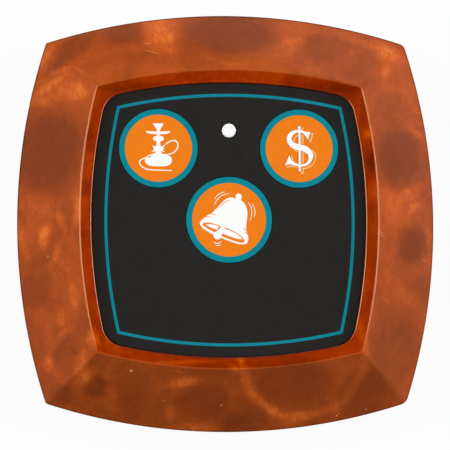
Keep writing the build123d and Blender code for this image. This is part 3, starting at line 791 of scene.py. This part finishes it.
# %% Housing
SIDE_RADIUS, BOW_CENTRE = 118.0, 75.5  # of the sides' arcs at the widest edge, mm
SIDE_STEPS = 48
# inset from the widest edge, height, corner radius in plan and rounding, mm
HOUSING_SECTION = [
    (0.4, 1.0, 1.4, 0.25),  # lower edge
    (0.0, 7.0, 1.4, 0.4),  # widest edge
    (12.46, 18.083, 0.4, 0.22),  # ridge
    (14.42, 16.26, 4.4, 0.1),  # foot of the window's wall
    (14.795, 16.22, 4.6, 0.3),  # lip
    (14.795, 15.0, 4.6, 0),  # ledge that the front plate lies under
    (13.535, 15.0, 0, 0),
    (3.0, 5.651, 0, 0),  # inside of the bevel
    (3.0, 3.0, 0, 0),
    (1.6, 3.0, 1.0, 0),  # rebate that the base plate lies in
    (1.6, 1.0, 1.0, 0),
]


def bowed_ring(name, rows, material, corner_steps=6, softer=(0, 0)):
    """Makes a ring from section rows; softer is the extra corner radius in mm, east and south."""
    values = {"Section": point_object(name + "_section", rows)}
    values |= {"Side Radius": SIDE_RADIUS * MM, "Bow Centre": BOW_CENTRE * MM}
    values |= {"Side Steps": SIDE_STEPS, "Corner Steps": corner_steps}
    values |= {"Softer East": softer[0] * MM, "Softer South": softer[1] * MM}
    piece = plain_piece(modified(ring_tree, name, values | {"Material": material}), name)
    bpy.data.objects.remove(values["Section"])
    return piece


rows = rounded_rows(HOUSING_SECTION)
housing = bowed_ring("housing", rows, resin, corner_steps=10, softer=(0.9, 0.4))
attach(housing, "housing")
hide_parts("housing_shell")

# %% [markdown]
# ## The printed border
# A thin teal line runs round the film, parallel to the housing's outline. Because it follows
# the same rule, it is the same tree with a tiny rectangular section.

# %% Border line
FILM_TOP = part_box("overlay_film")[1].z / MM
INK = 0.012  # thickness of one printed layer, mm
LINE_SHIFT, LINE_STRETCH = 0.14, 1.010  # the film is a little taller than it is wide
outside, inside = 17.3, 17.9  # insets of the line's two edges, mm
low, high = FILM_TOP, FILM_TOP + INK
corners = [(outside, low), (inside, low), (inside, high), (outside, high)]
border_rows = [(inset * MM, 0, z * MM) for inset, z in corners]
border = bowed_ring("border_line", border_rows, teal_ink)
shift = Matrix.Translation((LINE_SHIFT * MM, 0, 0))
border.data.transform(shift @ Matrix.Diagonal((1, LINE_STRETCH, 1, 1)))
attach(border, "housing")

# %% [markdown]
# ## Turned parts on their places
# Feet, screws, bosses, lamp and snap domes are turned shapes, some of them repeated. The tree
# bends a grid into a turned solid from a profile of (radius, height) points, cuts it with a
# tool where one is given, and puts a copy on every place.


# %% Geometry Nodes: turned parts
def turned_tree():
    """A profile turned about Z, cut once, and repeated on the places."""
    kinds = {"Profile": "Object", "Tool": "Object", "Places": "Object"}
    tree, given = new_tree("turned_parts", kinds | {"Steps": "Int", "Material": "Material"})
    profile, steps = shape_of(given["Profile"]), given["Steps"]
    grid, column, row = grid_of(steps + 1, count_of(profile))
    solid = bent_grid(grid, swung(point_of(profile, row), column / steps * (2 * pi)))
    sockets = {"Mesh 1": solid, "Mesh 2": shape_of(given["Tool"])}
    kind = "GeometryNodeMeshBoolean"
    cut = output(tree, kind, sockets, operation="DIFFERENCE", solver="EXACT")
    sockets = {"Points": shape_of(given["Places"]), "Instance": cut}
    copies = output(tree, "GeometryNodeInstanceOnPoints", sockets)
    return end_tree(copies, given["Material"])


parts_tree = turned_tree()


def turned_parts(name, profile, places, material, tool=None, steps=48):
    """profile is (radius, height) and places (x, y), all in mm."""
    profile = point_object(name + "_profile", [(r * MM, 0, z * MM) for r, z in profile])
    places = point_object(name + "_places", [(x * MM, y * MM, 0) for x, y in places])
    tool = tool or point_object(name + "_tool", [])
    helpers = {"Profile": profile, "Tool": tool, "Places": places}
    values = helpers | {"Steps": steps, "Material": material}
    piece = plain_piece(modified(parts_tree, name, values), name)
    for helper in helpers.values():
        bpy.data.objects.remove(helper)
    return piece


def quarter_arc(radius, height, across, up, step=15):
    """Profile points on a quarter of an ellipse, from its side to its top (up > 0) or bottom."""
    turns = [radians(degree) for degree in range(0, 91, step)]
    return [(radius + across * cos(turn), height + up * sin(turn)) for turn in turns]


# %% [markdown]
# ## Feet, screws and bosses underneath
# A call button stands on four stuck-on rubber feet. Their lower edge is rounded, because a
# cast rubber foot never has a sharp one. The base is held by four countersunk screws with a
# cross recess: the recess is cut by a small tapered cross, and the thread shows as ridges.

# %% Feet
FOOT_RADIUS, FOOT_HEIGHT, FOOT_EDGE = 4.5, 1.0, 0.35  # mm
edge = quarter_arc(FOOT_RADIUS - FOOT_EDGE, FOOT_EDGE, FOOT_EDGE, -FOOT_EDGE)[::-1]
foot_profile = [(0, 0), *edge, (FOOT_RADIUS, FOOT_HEIGHT), (0, FOOT_HEIGHT)]
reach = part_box("rubber_feet")[1].x / MM - FOOT_RADIUS
foot_places = [(x, y) for x in (-reach, reach) for y in (-reach, reach)]
feet = turned_parts("feet", foot_profile, foot_places, foot_rubber)
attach(feet, "housing")
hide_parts("rubber_feet")

# %% Screws with a cross recess
CROSS_LENGTH, CROSS_WIDTH = 1.5, 0.36  # half of each, mm
CROSS_LEVELS = ((0.9, 1.0), (2.0, 0.42))  # height in mm, share of the plan


def cross_tool():
    """Tapered cross that cuts the recess of a screw's head, from below."""
    arm = [(CROSS_WIDTH, CROSS_LENGTH), (CROSS_WIDTH, CROSS_WIDTH), (CROSS_LENGTH, CROSS_WIDTH)]
    plan = []
    for turn in range(4):
        for x, y in arm:
            corner = Vector((x, y, 0))
            corner.rotate(Quaternion((0, 0, 1), -turn * pi / 2))
            plan.append(corner)
    solid = bmesh.new()
    low, high = (
        [solid.verts.new((p.x * share * MM, p.y * share * MM, height * MM)) for p in plan]
        for height, share in CROSS_LEVELS
    )
    for i in range(len(plan)):
        j = (i + 1) % len(plan)
        solid.faces.new((low[i], low[j], high[j], high[i]))
    solid.faces.new(low)
    solid.faces.new(reversed(high))
    bmesh.ops.recalc_face_normals(solid, faces=solid.faces)
    bmesh.ops.triangulate(solid, faces=solid.faces)
    mesh = bpy.data.meshes.new("cross_tool")
    solid.to_mesh(mesh)
    solid.free()
    return new_object("cross_tool", mesh)


HEAD_RADIUS, HEAD_Z, SCREW_TIP = 2.6, 1.0, 9.0  # mm
THREAD_OUTSIDE, THREAD_INSIDE, THREAD_PITCH = 1.3, 1.08, 0.65  # mm
THREAD_Z, THREAD_TURNS = 2.9, 8
screw_profile = [(0, HEAD_Z), (2.5, HEAD_Z), (2.58, 1.08)]
screw_profile += [(THREAD_OUTSIDE, 2.3), (THREAD_OUTSIDE, THREAD_Z)]
for turn in range(THREAD_TURNS):
    z = THREAD_Z + turn * THREAD_PITCH
    screw_profile += [(THREAD_INSIDE, z + 0.2), (THREAD_INSIDE, z + 0.45)]
    screw_profile.append((THREAD_OUTSIDE, z + THREAD_PITCH))
screw_profile += [(1.05, 8.4), (0.25, SCREW_TIP), (0, SCREW_TIP)]
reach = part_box("base_screws")[1].x / MM - HEAD_RADIUS
screw_places = [(reach, 0), (0, reach), (-reach, 0), (0, -reach)]
screws = turned_parts(
    "cross_screws", screw_profile, screw_places, zinc, cross_tool(), 32
)
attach(screws, "housing")
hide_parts("base_screws")

# %% [markdown]
# ## The indicator lamp
# The lamp is a moulded lens with a flange that keeps it under the plate. Its rounded top
# stands just proud of the film. It is one more turned part, on one place.

# %% Lamp
LENS_RADIUS, FLANGE_RADIUS, FLANGE_HEIGHT = 1.4, 1.9, 1.0  # mm
ACROSS, UP = 0.3, 0.15  # rounding of the lens's top, mm
low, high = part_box("indicator_led")
lens_place = ((low.x + high.x) / 2 / MM, (low.y + high.y) / 2 / MM)
bottom, top = low.z / MM, high.z / MM
flange_top = bottom + FLANGE_HEIGHT
lens_profile = [(0, bottom), (FLANGE_RADIUS, bottom), (FLANGE_RADIUS, flange_top)]
lens_profile.append((LENS_RADIUS, flange_top))
lens_profile += quarter_arc(LENS_RADIUS - ACROSS, top - UP, ACROSS, UP, step=10)
lens_profile.append((0, top))
lamp = turned_parts("lamp_lens", lens_profile, [lens_place], lens_white, steps=64)
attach(lamp, "housing")
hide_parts("indicator_led")

# %% Bosses that the screws bite in
BOSS_RADIUS, BORE_RADIUS, BOSS_Z, BOSS_TOP = 3.4, 1.32, 3.0, 13.5  # mm
boss_profile = [(BORE_RADIUS, BOSS_Z), (BOSS_RADIUS, BOSS_Z), (BOSS_RADIUS, BOSS_TOP)]
boss_profile += [(0, BOSS_TOP), (0, SCREW_TIP), (BORE_RADIUS, SCREW_TIP), (BORE_RADIUS, BOSS_Z)]
bosses = turned_parts("screw_bosses", boss_profile, screw_places, resin, steps=40)
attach(bosses, "housing")

# %% [markdown]
# ## Printed shapes
# The prints are flat shapes a hundredth of a millimetre thick. A 2D curve is the natural
# tool: it fills closed outlines and leaves a hole where one outline lies in another. The
# filling is only exact at a comfortable size, so the curves are drawn in millimetres, made
# into a mesh, and only then shrunk to metres and put in their place.


# %% Outlines and strokes
def between(a, b, c, d, t):
    """Value of a soft curve on its way from b to c; a and d are the values beside them."""
    square, cube = 2 * a - 5 * b + 4 * c - d, 3 * b - a - 3 * c + d
    return 0.5 * (2 * b + (c - a) * t + square * t**2 + cube * t**3)


def smooth_line(points, steps=8):
    """Points along a soft curve through all the given points."""
    line = []
    ends = [points[0], *points, points[-1]]
    for near in zip(ends, ends[1:], ends[2:], ends[3:]):
        for step in range(steps):
            t = step / steps
            line.append(Vector([between(*(p[axis] for p in near), t) for axis in (0, 1)]))
    return [*line, Vector(points[-1][:2])]


def stroke(points, width, taper=0.6):
    """Outline of a pen line; taper thins its ends."""
    line = smooth_line(points)
    left, right = [], []
    for index, point in enumerate(line):
        near = line[max(index - 1, 0)]
        far = line[min(index + 1, len(line) - 1)]
        across = (far - near).normalized().orthogonal()
        share = index / (len(line) - 1)
        half = width / 2 * (1 - taper * abs(2 * share - 1) ** 3)
        left.append(point + across * half)
        right.append(point - across * half)
    return [tuple(point) for point in left + right[::-1]]


def round_shape(x, y, half_x, half_y=None, count=40):
    """Outline of a circle or an ellipse."""
    angles = [2 * pi * index / count for index in range(count)]
    return [(x + half_x * cos(turn), y + (half_y or half_x) * sin(turn)) for turn in angles]


def soft_shape(points, steps=6):
    """Closed outline; a point with a third entry is a sharp corner."""
    corners = [index for index, point in enumerate(points) if len(point) > 2]
    count = len(points)
    if not corners:
        line = smooth_line([*points, *points, *points], steps)
        return [tuple(p) for p in line[count * steps : 2 * count * steps]]
    outline = []
    for first, last in zip(corners, corners[1:] + [corners[0] + count]):
        run = [points[index % count] for index in range(first, last + 1)]
        outline += [tuple(p) for p in smooth_line(run, steps)[:-1]]
    return outline


# %% From outlines to a thin print
INK_STEP = 0.0009  # overlapping shapes of one ink differ by this, so no two faces coincide
INK_STEPS = 12  # after so many shapes the steps start again
PRINT_MERGE = 1e-4  # points of a print that are closer than this are one, mm


def print_mesh(shapes, centre, thick, spread):
    """Mesh of several shapes; each shape is a list of outlines, the inner ones are holes."""
    joined = bmesh.new()
    for number, outlines in enumerate(shapes):
        curve = bpy.data.curves.new("print", "CURVE")
        curve.dimensions, curve.fill_mode = "2D", "BOTH"
        high = thick + number % INK_STEPS * INK_STEP
        curve.extrude, curve.offset = high / 2, spread
        for outline in outlines:
            spline = curve.splines.new("POLY")
            spline.points.add(len(outline) - 1)
            for point, (x, y) in zip(spline.points, outline):
                point.co = (x, y, 0, 1)
            spline.use_cyclic_u = True
        mesh = evaluated_mesh(new_object("print", curve))
        tidy_mesh(mesh, PRINT_MERGE)
        place = (centre[0] * MM, centre[1] * MM, (FILM_TOP + high / 2) * MM)
        mesh.transform(Matrix.Translation(place) @ Matrix.Diagonal((MM, MM, MM, 1)))
        joined.from_mesh(mesh)
    return joined


def flat_print(key, name, layers):
    """The key's disc and layers of (shapes, ink, spread) on it; all join into one piece."""
    centre, radius = KEYS[key]
    disc = [[round_shape(0, 0, radius * DISC_SHARE[key], count=128)]]
    mesh, whole = bpy.data.meshes.new(name), bmesh.new()
    for number, (shapes, ink, spread) in enumerate([(disc, orange_ink, 0), *layers]):
        mesh.materials.append(ink)
        layer = print_mesh(shapes, centre, INK * (number + 1), spread)
        for face in layer.faces:
            face.material_index = number
        part = bpy.data.meshes.new("layer")
        layer.to_mesh(part)
        layer.free()
        whole.from_mesh(part)
    whole.to_mesh(mesh)
    whole.free()
    piece = new_object(name, mesh)
    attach(piece, key + "_key")
    print(name, "faces:", len(mesh.polygons))


# %% [markdown]
# ## Where the keys are
# The frame knows the keys' places: each printed face is a node, so its box gives the middle
# and the radius. The teal ring is that face itself, and the orange disc is printed on it.

# %% Key places
KEYS = {}
for key in ("call", "hookah", "bill"):
    low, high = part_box(key + "_key_face")
    middle = (low + high) / 2 / MM
    KEYS[key] = ((middle.x, middle.y), (high.x - low.x) / 2 / MM)
    print(key, [round(value, 2) for value in (*KEYS[key][0], KEYS[key][1])])
# the orange disc's radius as a share of the key's
DISC_SHARE = {"call": 7.43 / 8.63, "hookah": 6.76 / 7.9, "bill": 6.76 / 7.9}

# %% [markdown]
# ## Snap domes
# Under each key's plunger stands a thin pressed dome, which gives way by half its height. The
# frame's own dome is rigid, so the plunger would cut into it at full travel. Here each dome is
# a turned piece with a mesh of its own, and the frame's dome is hidden.

# %% Turned snap domes
DOME_THICKNESS, DOME_CROWN = 0.1, 1.2  # the crown is the flat middle's radius, mm
for key in KEYS:
    low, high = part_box(key + "_switch_dome")
    rim, floor_z, top = (high.x - low.x) / 2 / MM, low.z / MM, high.z / MM
    reach, rise = rim - DOME_CROWN, top - floor_z
    outer = quarter_arc(DOME_CROWN, floor_z, reach, rise)
    inner = quarter_arc(DOME_CROWN, floor_z, reach - DOME_THICKNESS, rise - DOME_THICKNESS)[::-1]
    profile = [(0, top - DOME_THICKNESS), *inner, *outer, (0, top)]
    middle, name = (low + high) / 2, key + "_snap_dome"
    place = [(middle.x / MM, middle.y / MM)]
    dome = turned_parts(name, profile, place, spring_steel, steps=40)
    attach(dome, "housing")
    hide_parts(key + "_switch_dome")
    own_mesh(dome)

# %% [markdown]
# ## The hookah sign
# The sign is a plain water pipe: bowl, tray, bulb, stem, cup and a wide base, with one hose.
# Simple parts that overlap in the same ink read as one shape, so each part keeps its own
# short outline, in millimetres from the key's middle. A third entry in a point makes it a
# sharp corner.

# %% Hookah
bowl = [
    (-1.08, 5.05, 1), (0, 4.98), (1.02, 5.05, 1), (0.86, 4.5), (0.42, 3.92), (0.27, 3.3, 1),
    (-0.27, 3.3, 1), (-0.42, 3.92), (-0.86, 4.5),
]
tray = [
    (-2.52, 3.42, 1), (0, 3.36), (2.46, 3.42, 1), (2.2, 3.1), (1.4, 2.88), (0, 2.82), (-1.4, 2.88),
    (-2.3, 3.1),
]
neck = [(-0.3, 3.0, 1), (0.3, 3.0, 1), (0.24, 2.65), (0.3, 2.3, 1), (-0.3, 2.3, 1), (-0.24, 2.65)]
stem = [(-0.4, 1.5, 1), (0.4, 1.5, 1), (0.36, 0.9), (0.46, 0.2, 1), (-0.46, 0.2, 1), (-0.36, 0.9)]
cup = [
    (-1.3, 0.66, 1), (-0.9, 0.4), (0, 0.42), (0.95, 0.4, 1), (0.98, 0.1), (0.9, -0.4),
    (0.5, -0.75), (0.4, -0.95, 1), (-0.4, -0.95, 1), (-0.5, -0.75), (-0.9, -0.4), (-1.0, 0.05),
]
base = [
    (-0.55, -0.85), (-0.8, -1.15), (-1.55, -1.55), (-2.5, -2.1), (-2.72, -2.55), (-2.4, -3.2),
    (-1.5, -3.6), (0, -3.68), (1.5, -3.6), (2.4, -3.2), (2.73, -2.5), (2.5, -1.8), (1.75, -1.38),
    (0.9, -1.15), (0.55, -0.85), (0, -0.75),
]
rim = [(-1.35, -0.68), (-0.8, -0.56), (0, -0.5), (0.8, -0.56), (1.3, -0.68)]
spout = [(0.7, -0.02), (1.15, -0.06)]
hose_start = [
    (0.8, 0.05), (1.1, 0.45), (1.9, 1.14), (2.7, 1.5), (3.35, 1.5), (3.84, 1.1), (3.92, 0.4),
    (3.58, -0.38), (2.84, -0.98), (1.95, -1.25), (1.2, -1.3),
]
hose_end = [
    (-0.8, -1.1), (-1.9, -1.52), (-2.6, -1.98), (-3.4, -2.3), (-3.82, -2.86), (-3.5, -3.55),
    (-2.7, -4.08), (-1.9, -4.33), (-0.2, -4.42), (1.2, -4.46), (2.7, -4.52),
]
notch = [(-2.0, -1.98), (-1.75, -1.74), (-1.3, -1.5)]

hookah_parts = [[soft_shape(bowl)], [soft_shape(tray)], [soft_shape(neck)]]
hookah_parts += [[round_shape(0, 1.93, 1.1, 0.58)], [soft_shape(stem)], [soft_shape(cup)]]
hookah_parts += [[stroke(rim, 0.24)], [stroke(spout, 0.2)], [soft_shape(base)]]
hookah_parts += [[stroke(line, 0.23, 0.3)] for line in (hose_start, hose_end)]
hookah_layers = [(hookah_parts, white_ink, 0), ([[stroke(notch, 0.16, 0.9)]], orange_ink, 0)]
flat_print("hookah", "hookah_sign", hookah_layers)

# %% [markdown]
# ## The bill sign
# The bill key shows a currency sign with a drop outline. It is one S outline, drawn once and
# used four times: an offset cream copy, the same a little thinner in orange, a darker
# edge, and the white sign on top. Curve offset does the thinning and thickening.

# %% Currency sign
s_outline = [
    (2.25, 3.44, 1), (1.77, 1.74, 1), (1.43, 2.28), (1.05, 2.82), (0.5, 3.2), (-0.06, 3.3),
    (-0.86, 3.06), (-1.4, 2.5), (-1.54, 1.92), (-1.24, 1.36), (-0.2, 0.9), (0.86, 0.7),
    (1.77, 0.3), (2.48, -0.4), (2.8, -1.17), (2.7, -2.0), (2.1, -2.95), (1.2, -3.48),
    (0.29, -3.62), (-0.86, -3.42), (-2.0, -3.2), (-2.97, -3.36, 1), (-2.46, -2.42),
    (-2.02, -1.3, 1), (-1.78, -2.0), (-1.3, -2.56), (-0.51, -3.04), (0.29, -3.22), (1.2, -3.02),
    (1.78, -2.42), (1.85, -1.55), (1.43, -0.9), (0.5, -0.5), (-0.4, -0.27), (-1.43, 0.08),
    (-2.12, 0.76), (-2.52, 1.58), (-2.46, 2.4), (-1.98, 3.18), (-1.1, 3.7), (-0.06, 3.82),
    (0.86, 3.58), (1.43, 3.38),
]
bar = [(-0.31, 4.52), (0.3, 4.52), (0.24, 3.9), (0.27, -4.62), (-0.12, -4.62), (-0.14, 3.9)]
DROP = (0.52, -0.38)  # from the white sign to its drop outline, mm

white_sign = [[soft_shape(s_outline, 4)], [bar]]
drop_sign = [[[(x + DROP[0], y + DROP[1]) for x, y in line]] for (line,) in white_sign]
bill_layers = [
    (drop_sign, cream_ink, 0.08),
    (drop_sign, orange_ink, -0.10),
    (white_sign, shade_ink, 0.12),
    (white_sign, white_ink, 0),
]
flat_print("bill", "bill_sign", bill_layers)

# %% [markdown]
# ## The bell sign
# The call key shows a ringing bell. The mouth is a hole in the white body, through which the
# orange disc shows, and the inside of the bell and its clapper are white parts in the hole.
# Thin tapered strokes give the bands and the sense of movement.

# %% Bell
body = [
    (1.35, 4.22), (0.5, 4.5), (-0.35, 4.32), (-1.32, 3.6), (-2.05, 2.78), (-2.9, 1.92),
    (-3.7, 1.2), (-4.3, 0.94), (-4.74, 0.56), (-5.42, 0.05), (-5.87, -0.52), (-5.75, -1.13),
    (-5.08, -1.88), (-3.4, -2.88), (-1.44, -3.72), (0, -4.28), (1.47, -4.76), (2.8, -4.94),
    (3.53, -4.78, 1), (3.84, -3.92), (3.74, -3.1), (3.5, -2.4), (3.42, -1.4), (3.62, 0.45),
    (3.68, 1.54), (3.47, 2.5), (2.95, 3.44), (2.32, 3.94),
]
mouth = [
    (-5.36, -0.78), (-4.6, -0.56), (-3.75, -0.62), (-2.9, -0.86), (-1.75, -1.25), (0.25, -1.98),
    (1.47, -2.6), (2.44, -3.3), (3.04, -4.1), (2.99, -4.5), (2.44, -4.6), (1.47, -4.42),
    (0, -3.92), (-1.44, -3.3), (-3.14, -2.45), (-4.36, -1.76), (-5.2, -1.18),
]
left = [
    (-4.72, -0.88, 1), (-3.87, -0.9), (-2.9, -1.06), (-2.08, -1.34, 1), (-2.42, -2.04, 1),
    (-3.39, -1.68), (-4.24, -1.26),
]
right = [
    (-1.0, -1.78, 1), (0.25, -2.2), (1.47, -2.82), (2.3, -3.44), (2.62, -3.92, 1), (1.7, -3.84),
    (0.5, -3.48), (-1.5, -2.7, 1),
]
clapper_rod = [(-1.75, -1.2), (-0.9, -1.5), (-1.5, -3.0), (-2.5, -2.4)]
knob_neck = [(1.3, 4.6), (1.55, 3.9), (2.4, 3.6), (2.45, 4.4)]
ring_marks = [
    [(-2.96, 4.09), (-2.2, 5.08), (-0.84, 5.64)],
    [(-3.0, 2.78), (-2.4, 4.06), (-1.3, 4.96), (0.13, 5.3)],
    [(3.77, 3.54), (4.38, 2.63), (4.56, 1.3), (4.24, -0.28)],
    [(4.62, 3.3), (5.1, 2.27), (5.22, 1.3), (4.99, 0.5)],
    [(-3.26, -4.42), (-2.4, -4.78), (-1.44, -4.38)],
    [(-2.84, -5.08), (-2.3, -5.22), (-1.63, -4.97)],
]
band_lines = [
    [(-1.87, 2.5), (-0.84, 3.58), (0.3, 4.02)],
    [(-3.8, 1.2), (-3.3, 1.1), (-2.8, 0.9)],
    [(-4.75, 0.6), (-4.2, 0.62), (-3.6, 0.52)],
    [(2.74, -1.66), (3.15, -1.9), (3.5, -2.2)],
    [(3.05, -2.4), (3.4, -2.62), (3.75, -2.95)],
    [(-1.72, -1.28), (-1.95, -1.7), (-2.3, -2.15)],
]

bell_parts = [[soft_shape(body), soft_shape(mouth)], [soft_shape(left)], [soft_shape(right)]]
bell_parts += [[clapper_rod], [round_shape(-2.35, -3.13, 0.82)]]
bell_parts += [[round_shape(1.93, 4.64, 0.64)], [knob_neck]]
bell_parts += [[stroke(line, 0.14, 0.8)] for line in ring_marks]
bands = [[stroke(line, 0.13, 0.8)] for line in band_lines]
flat_print("call", "bell_sign", [(bell_parts, white_ink, 0), (bands, orange_ink, 0)])

# %% [markdown]
# ## Finishes for the frame's own parts
# All other nodes keep the frame's shape, which is right, and get their finish by their
# material slots. A dictionary of node names and finishes shows at a glance what each part
# is made of, and the script stops if a name is wrong or one is left out.

# %% Give each node its finish
FINISHES = {
    "base_plate": base_plastic,
    "front_plate": plate_plastic,
    "film_adhesive": tape,
    "overlay_film": black_film,
    "switch_terminals": tinned_lead,
    "circuit_board": board_green,
    "board_screws": zinc,
    "indicator_led": lens_white,
    "led_spacer": switch_plastic,
    "led_leads": tinned_lead,
    "encoder_chip": chip_plastic,
    "chip_leads": tinned_lead,
    "resonator_can": can_steel,
    "resonator_leads": tinned_lead,
    "antenna_loop": antenna_strip,
    "rf_transistor": chip_plastic,
    "chip_resistors": resistor_body,
    "chip_capacitors": capacitor_body,
    "battery": battery_sleeve,
    "battery_contact_positive": spring_steel,
    "battery_contact_negative": spring_steel,
    "battery_spring": spring_steel,
    "housing_shell": resin,
    "base_screws": zinc,
    "rubber_feet": foot_rubber,
}
KEY_FINISHES = {
    "key_face": teal_ink,
    "key_cap": key_plastic,
    "switch_base": switch_plastic,
    "switch_cover": spring_steel,
    "switch_stem": stem_plastic,
    "switch_dome": spring_steel,
}
for key in KEYS:
    FINISHES |= {f"{key}_{part}": finish for part, finish in KEY_FINISHES.items()}
left_out = set(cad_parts) ^ set(FINISHES)
if left_out:
    raise ValueError(f"nodes without a finish, or finishes without a node: {sorted(left_out)}")
for name, material in FINISHES.items():
    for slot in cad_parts[name].material_slots:
        slot.material = material
print("finished nodes:", len(FINISHES))

# %% [markdown]
# ## Floor and light
# The object lies on a plain pale floor under two broad soft lights, one on each side, with a
# quiet grey sky that is a little brighter at the sides. The floor shows as near white to the
# camera and in reflections, and still takes the object's shadow, because only a part of its
# brightness is its own. Seen from below it is clear.

# %% Floor
FLOOR_REACH, FLOOR_LEVEL = 1.0, -0.02 * MM  # half its width and its height, m
FLOOR_GLOW = 0.94  # share of its brightness that is its own, where it is seen


def pale_floor():
    """A floor that is nearly white, and clear from below."""
    material = bpy.data.materials.new("pale_floor")
    material.use_nodes = True
    tree = material.node_tree
    tree.nodes.clear()
    rays = add(tree, "ShaderNodeLightPath").outputs
    seen = Value(rays["Is Camera Ray"]) + Value(rays["Is Glossy Ray"])
    seen = calc("ADD", seen, Value(rays["Is Transmission Ray"]), clamp=True)
    paint = output(tree, "ShaderNodeBsdfDiffuse", {"Color": (0.86, 0.86, 0.86, 1)})
    glow = output(tree, "ShaderNodeEmission", {"Strength": 1.0})
    both = output(tree, "ShaderNodeMixShader", {0: seen * FLOOR_GLOW, 1: paint, 2: glow})
    below = output(tree, "ShaderNodeNewGeometry", name="Backfacing")
    clear = output(tree, "ShaderNodeBsdfTransparent")
    sided = output(tree, "ShaderNodeMixShader", {0: below, 1: both, 2: clear})
    add(tree, "ShaderNodeOutputMaterial", {"Surface": sided})
    mesh = bpy.data.meshes.new("floor")
    corners = [(x * FLOOR_REACH, y * FLOOR_REACH) for x, y in ((-1, -1), (1, -1), (1, 1), (-1, 1))]
    mesh.from_pydata([(*corner, FLOOR_LEVEL) for corner in corners], [], [(0, 1, 2, 3)])
    mesh.materials.append(material)
    return new_object("floor", mesh)


pale_floor()


# %% Lights
def turned_object(name, data, turn):
    """A light or a camera, turned from the position that looks straight down."""
    made = new_object(name, data)
    made.rotation_mode = "QUATERNION"
    made.rotation_quaternion = turn
    return made


def soft_sun(name, azimuth, energy, elevation=27, width=28):
    """Broad light from a direction; azimuth 0 is +X, and it counts towards +Y."""
    light = bpy.data.lights.new(name, "SUN")
    light.energy, light.angle = energy, radians(width)
    a, e = radians(azimuth), radians(elevation)
    towards = Vector((cos(a) * cos(e), sin(a) * cos(e), sin(e)))
    turned_object(name, light, towards.to_track_quat("Z", "Y"))


soft_sun("right_light", 12, 2.21)
soft_sun("left_light", 168, 2.10)

# %% Sky
world = bpy.data.worlds.new("quiet_sky")
bpy.context.scene.world = world
world.use_nodes = True
x, y, z = xyz(output(world.node_tree, "ShaderNodeTexCoord", name="Generated"))
glow = soft_step(y, -0.4, 0.3, 0.03, 0.15)
sides = x**2 * 0.38 + x * 0.10
upper = (y * 0.10 + 0.14) * soft_step(z, 0.0, 0.25)
corners = (x * y * 2) ** 4 * soft_step(y, -0.3, 0.3, 0.35, 1.6)
corners *= soft_step(z, 0.16, 0.32)
corners *= soft_step(z, 0.65, 0.45)
sky = world.node_tree.nodes["Background"].inputs
link(glow + sides + (upper + corners), sky["Strength"])
sky["Color"].default_value = (1, 1, 1, 1)
bpy.context.scene.view_settings.view_transform = "Standard"

# %% [markdown]
# ## Camera
# The button is seen from almost straight above, from 65 cm, through a long lens. The turn is
# given as an axis times an angle, from the position that looks straight down.

# %% Camera
CAMERA_PLACE = Vector((-0.0443, -0.0479, 0.650))  # m
CAMERA_TURN = Vector((4.219, -3.912, -0.036))  # degrees
lens = bpy.data.cameras.new("camera")
lens.lens, lens.sensor_width = 253.9, 36.0  # mm
turn = Quaternion(CAMERA_TURN.normalized(), radians(CAMERA_TURN.length))
camera = turned_object("camera", lens, turn)
camera.location = CAMERA_PLACE
bpy.context.scene.camera = camera
print("camera tilt:", round(CAMERA_TURN.length, 2), "degrees")
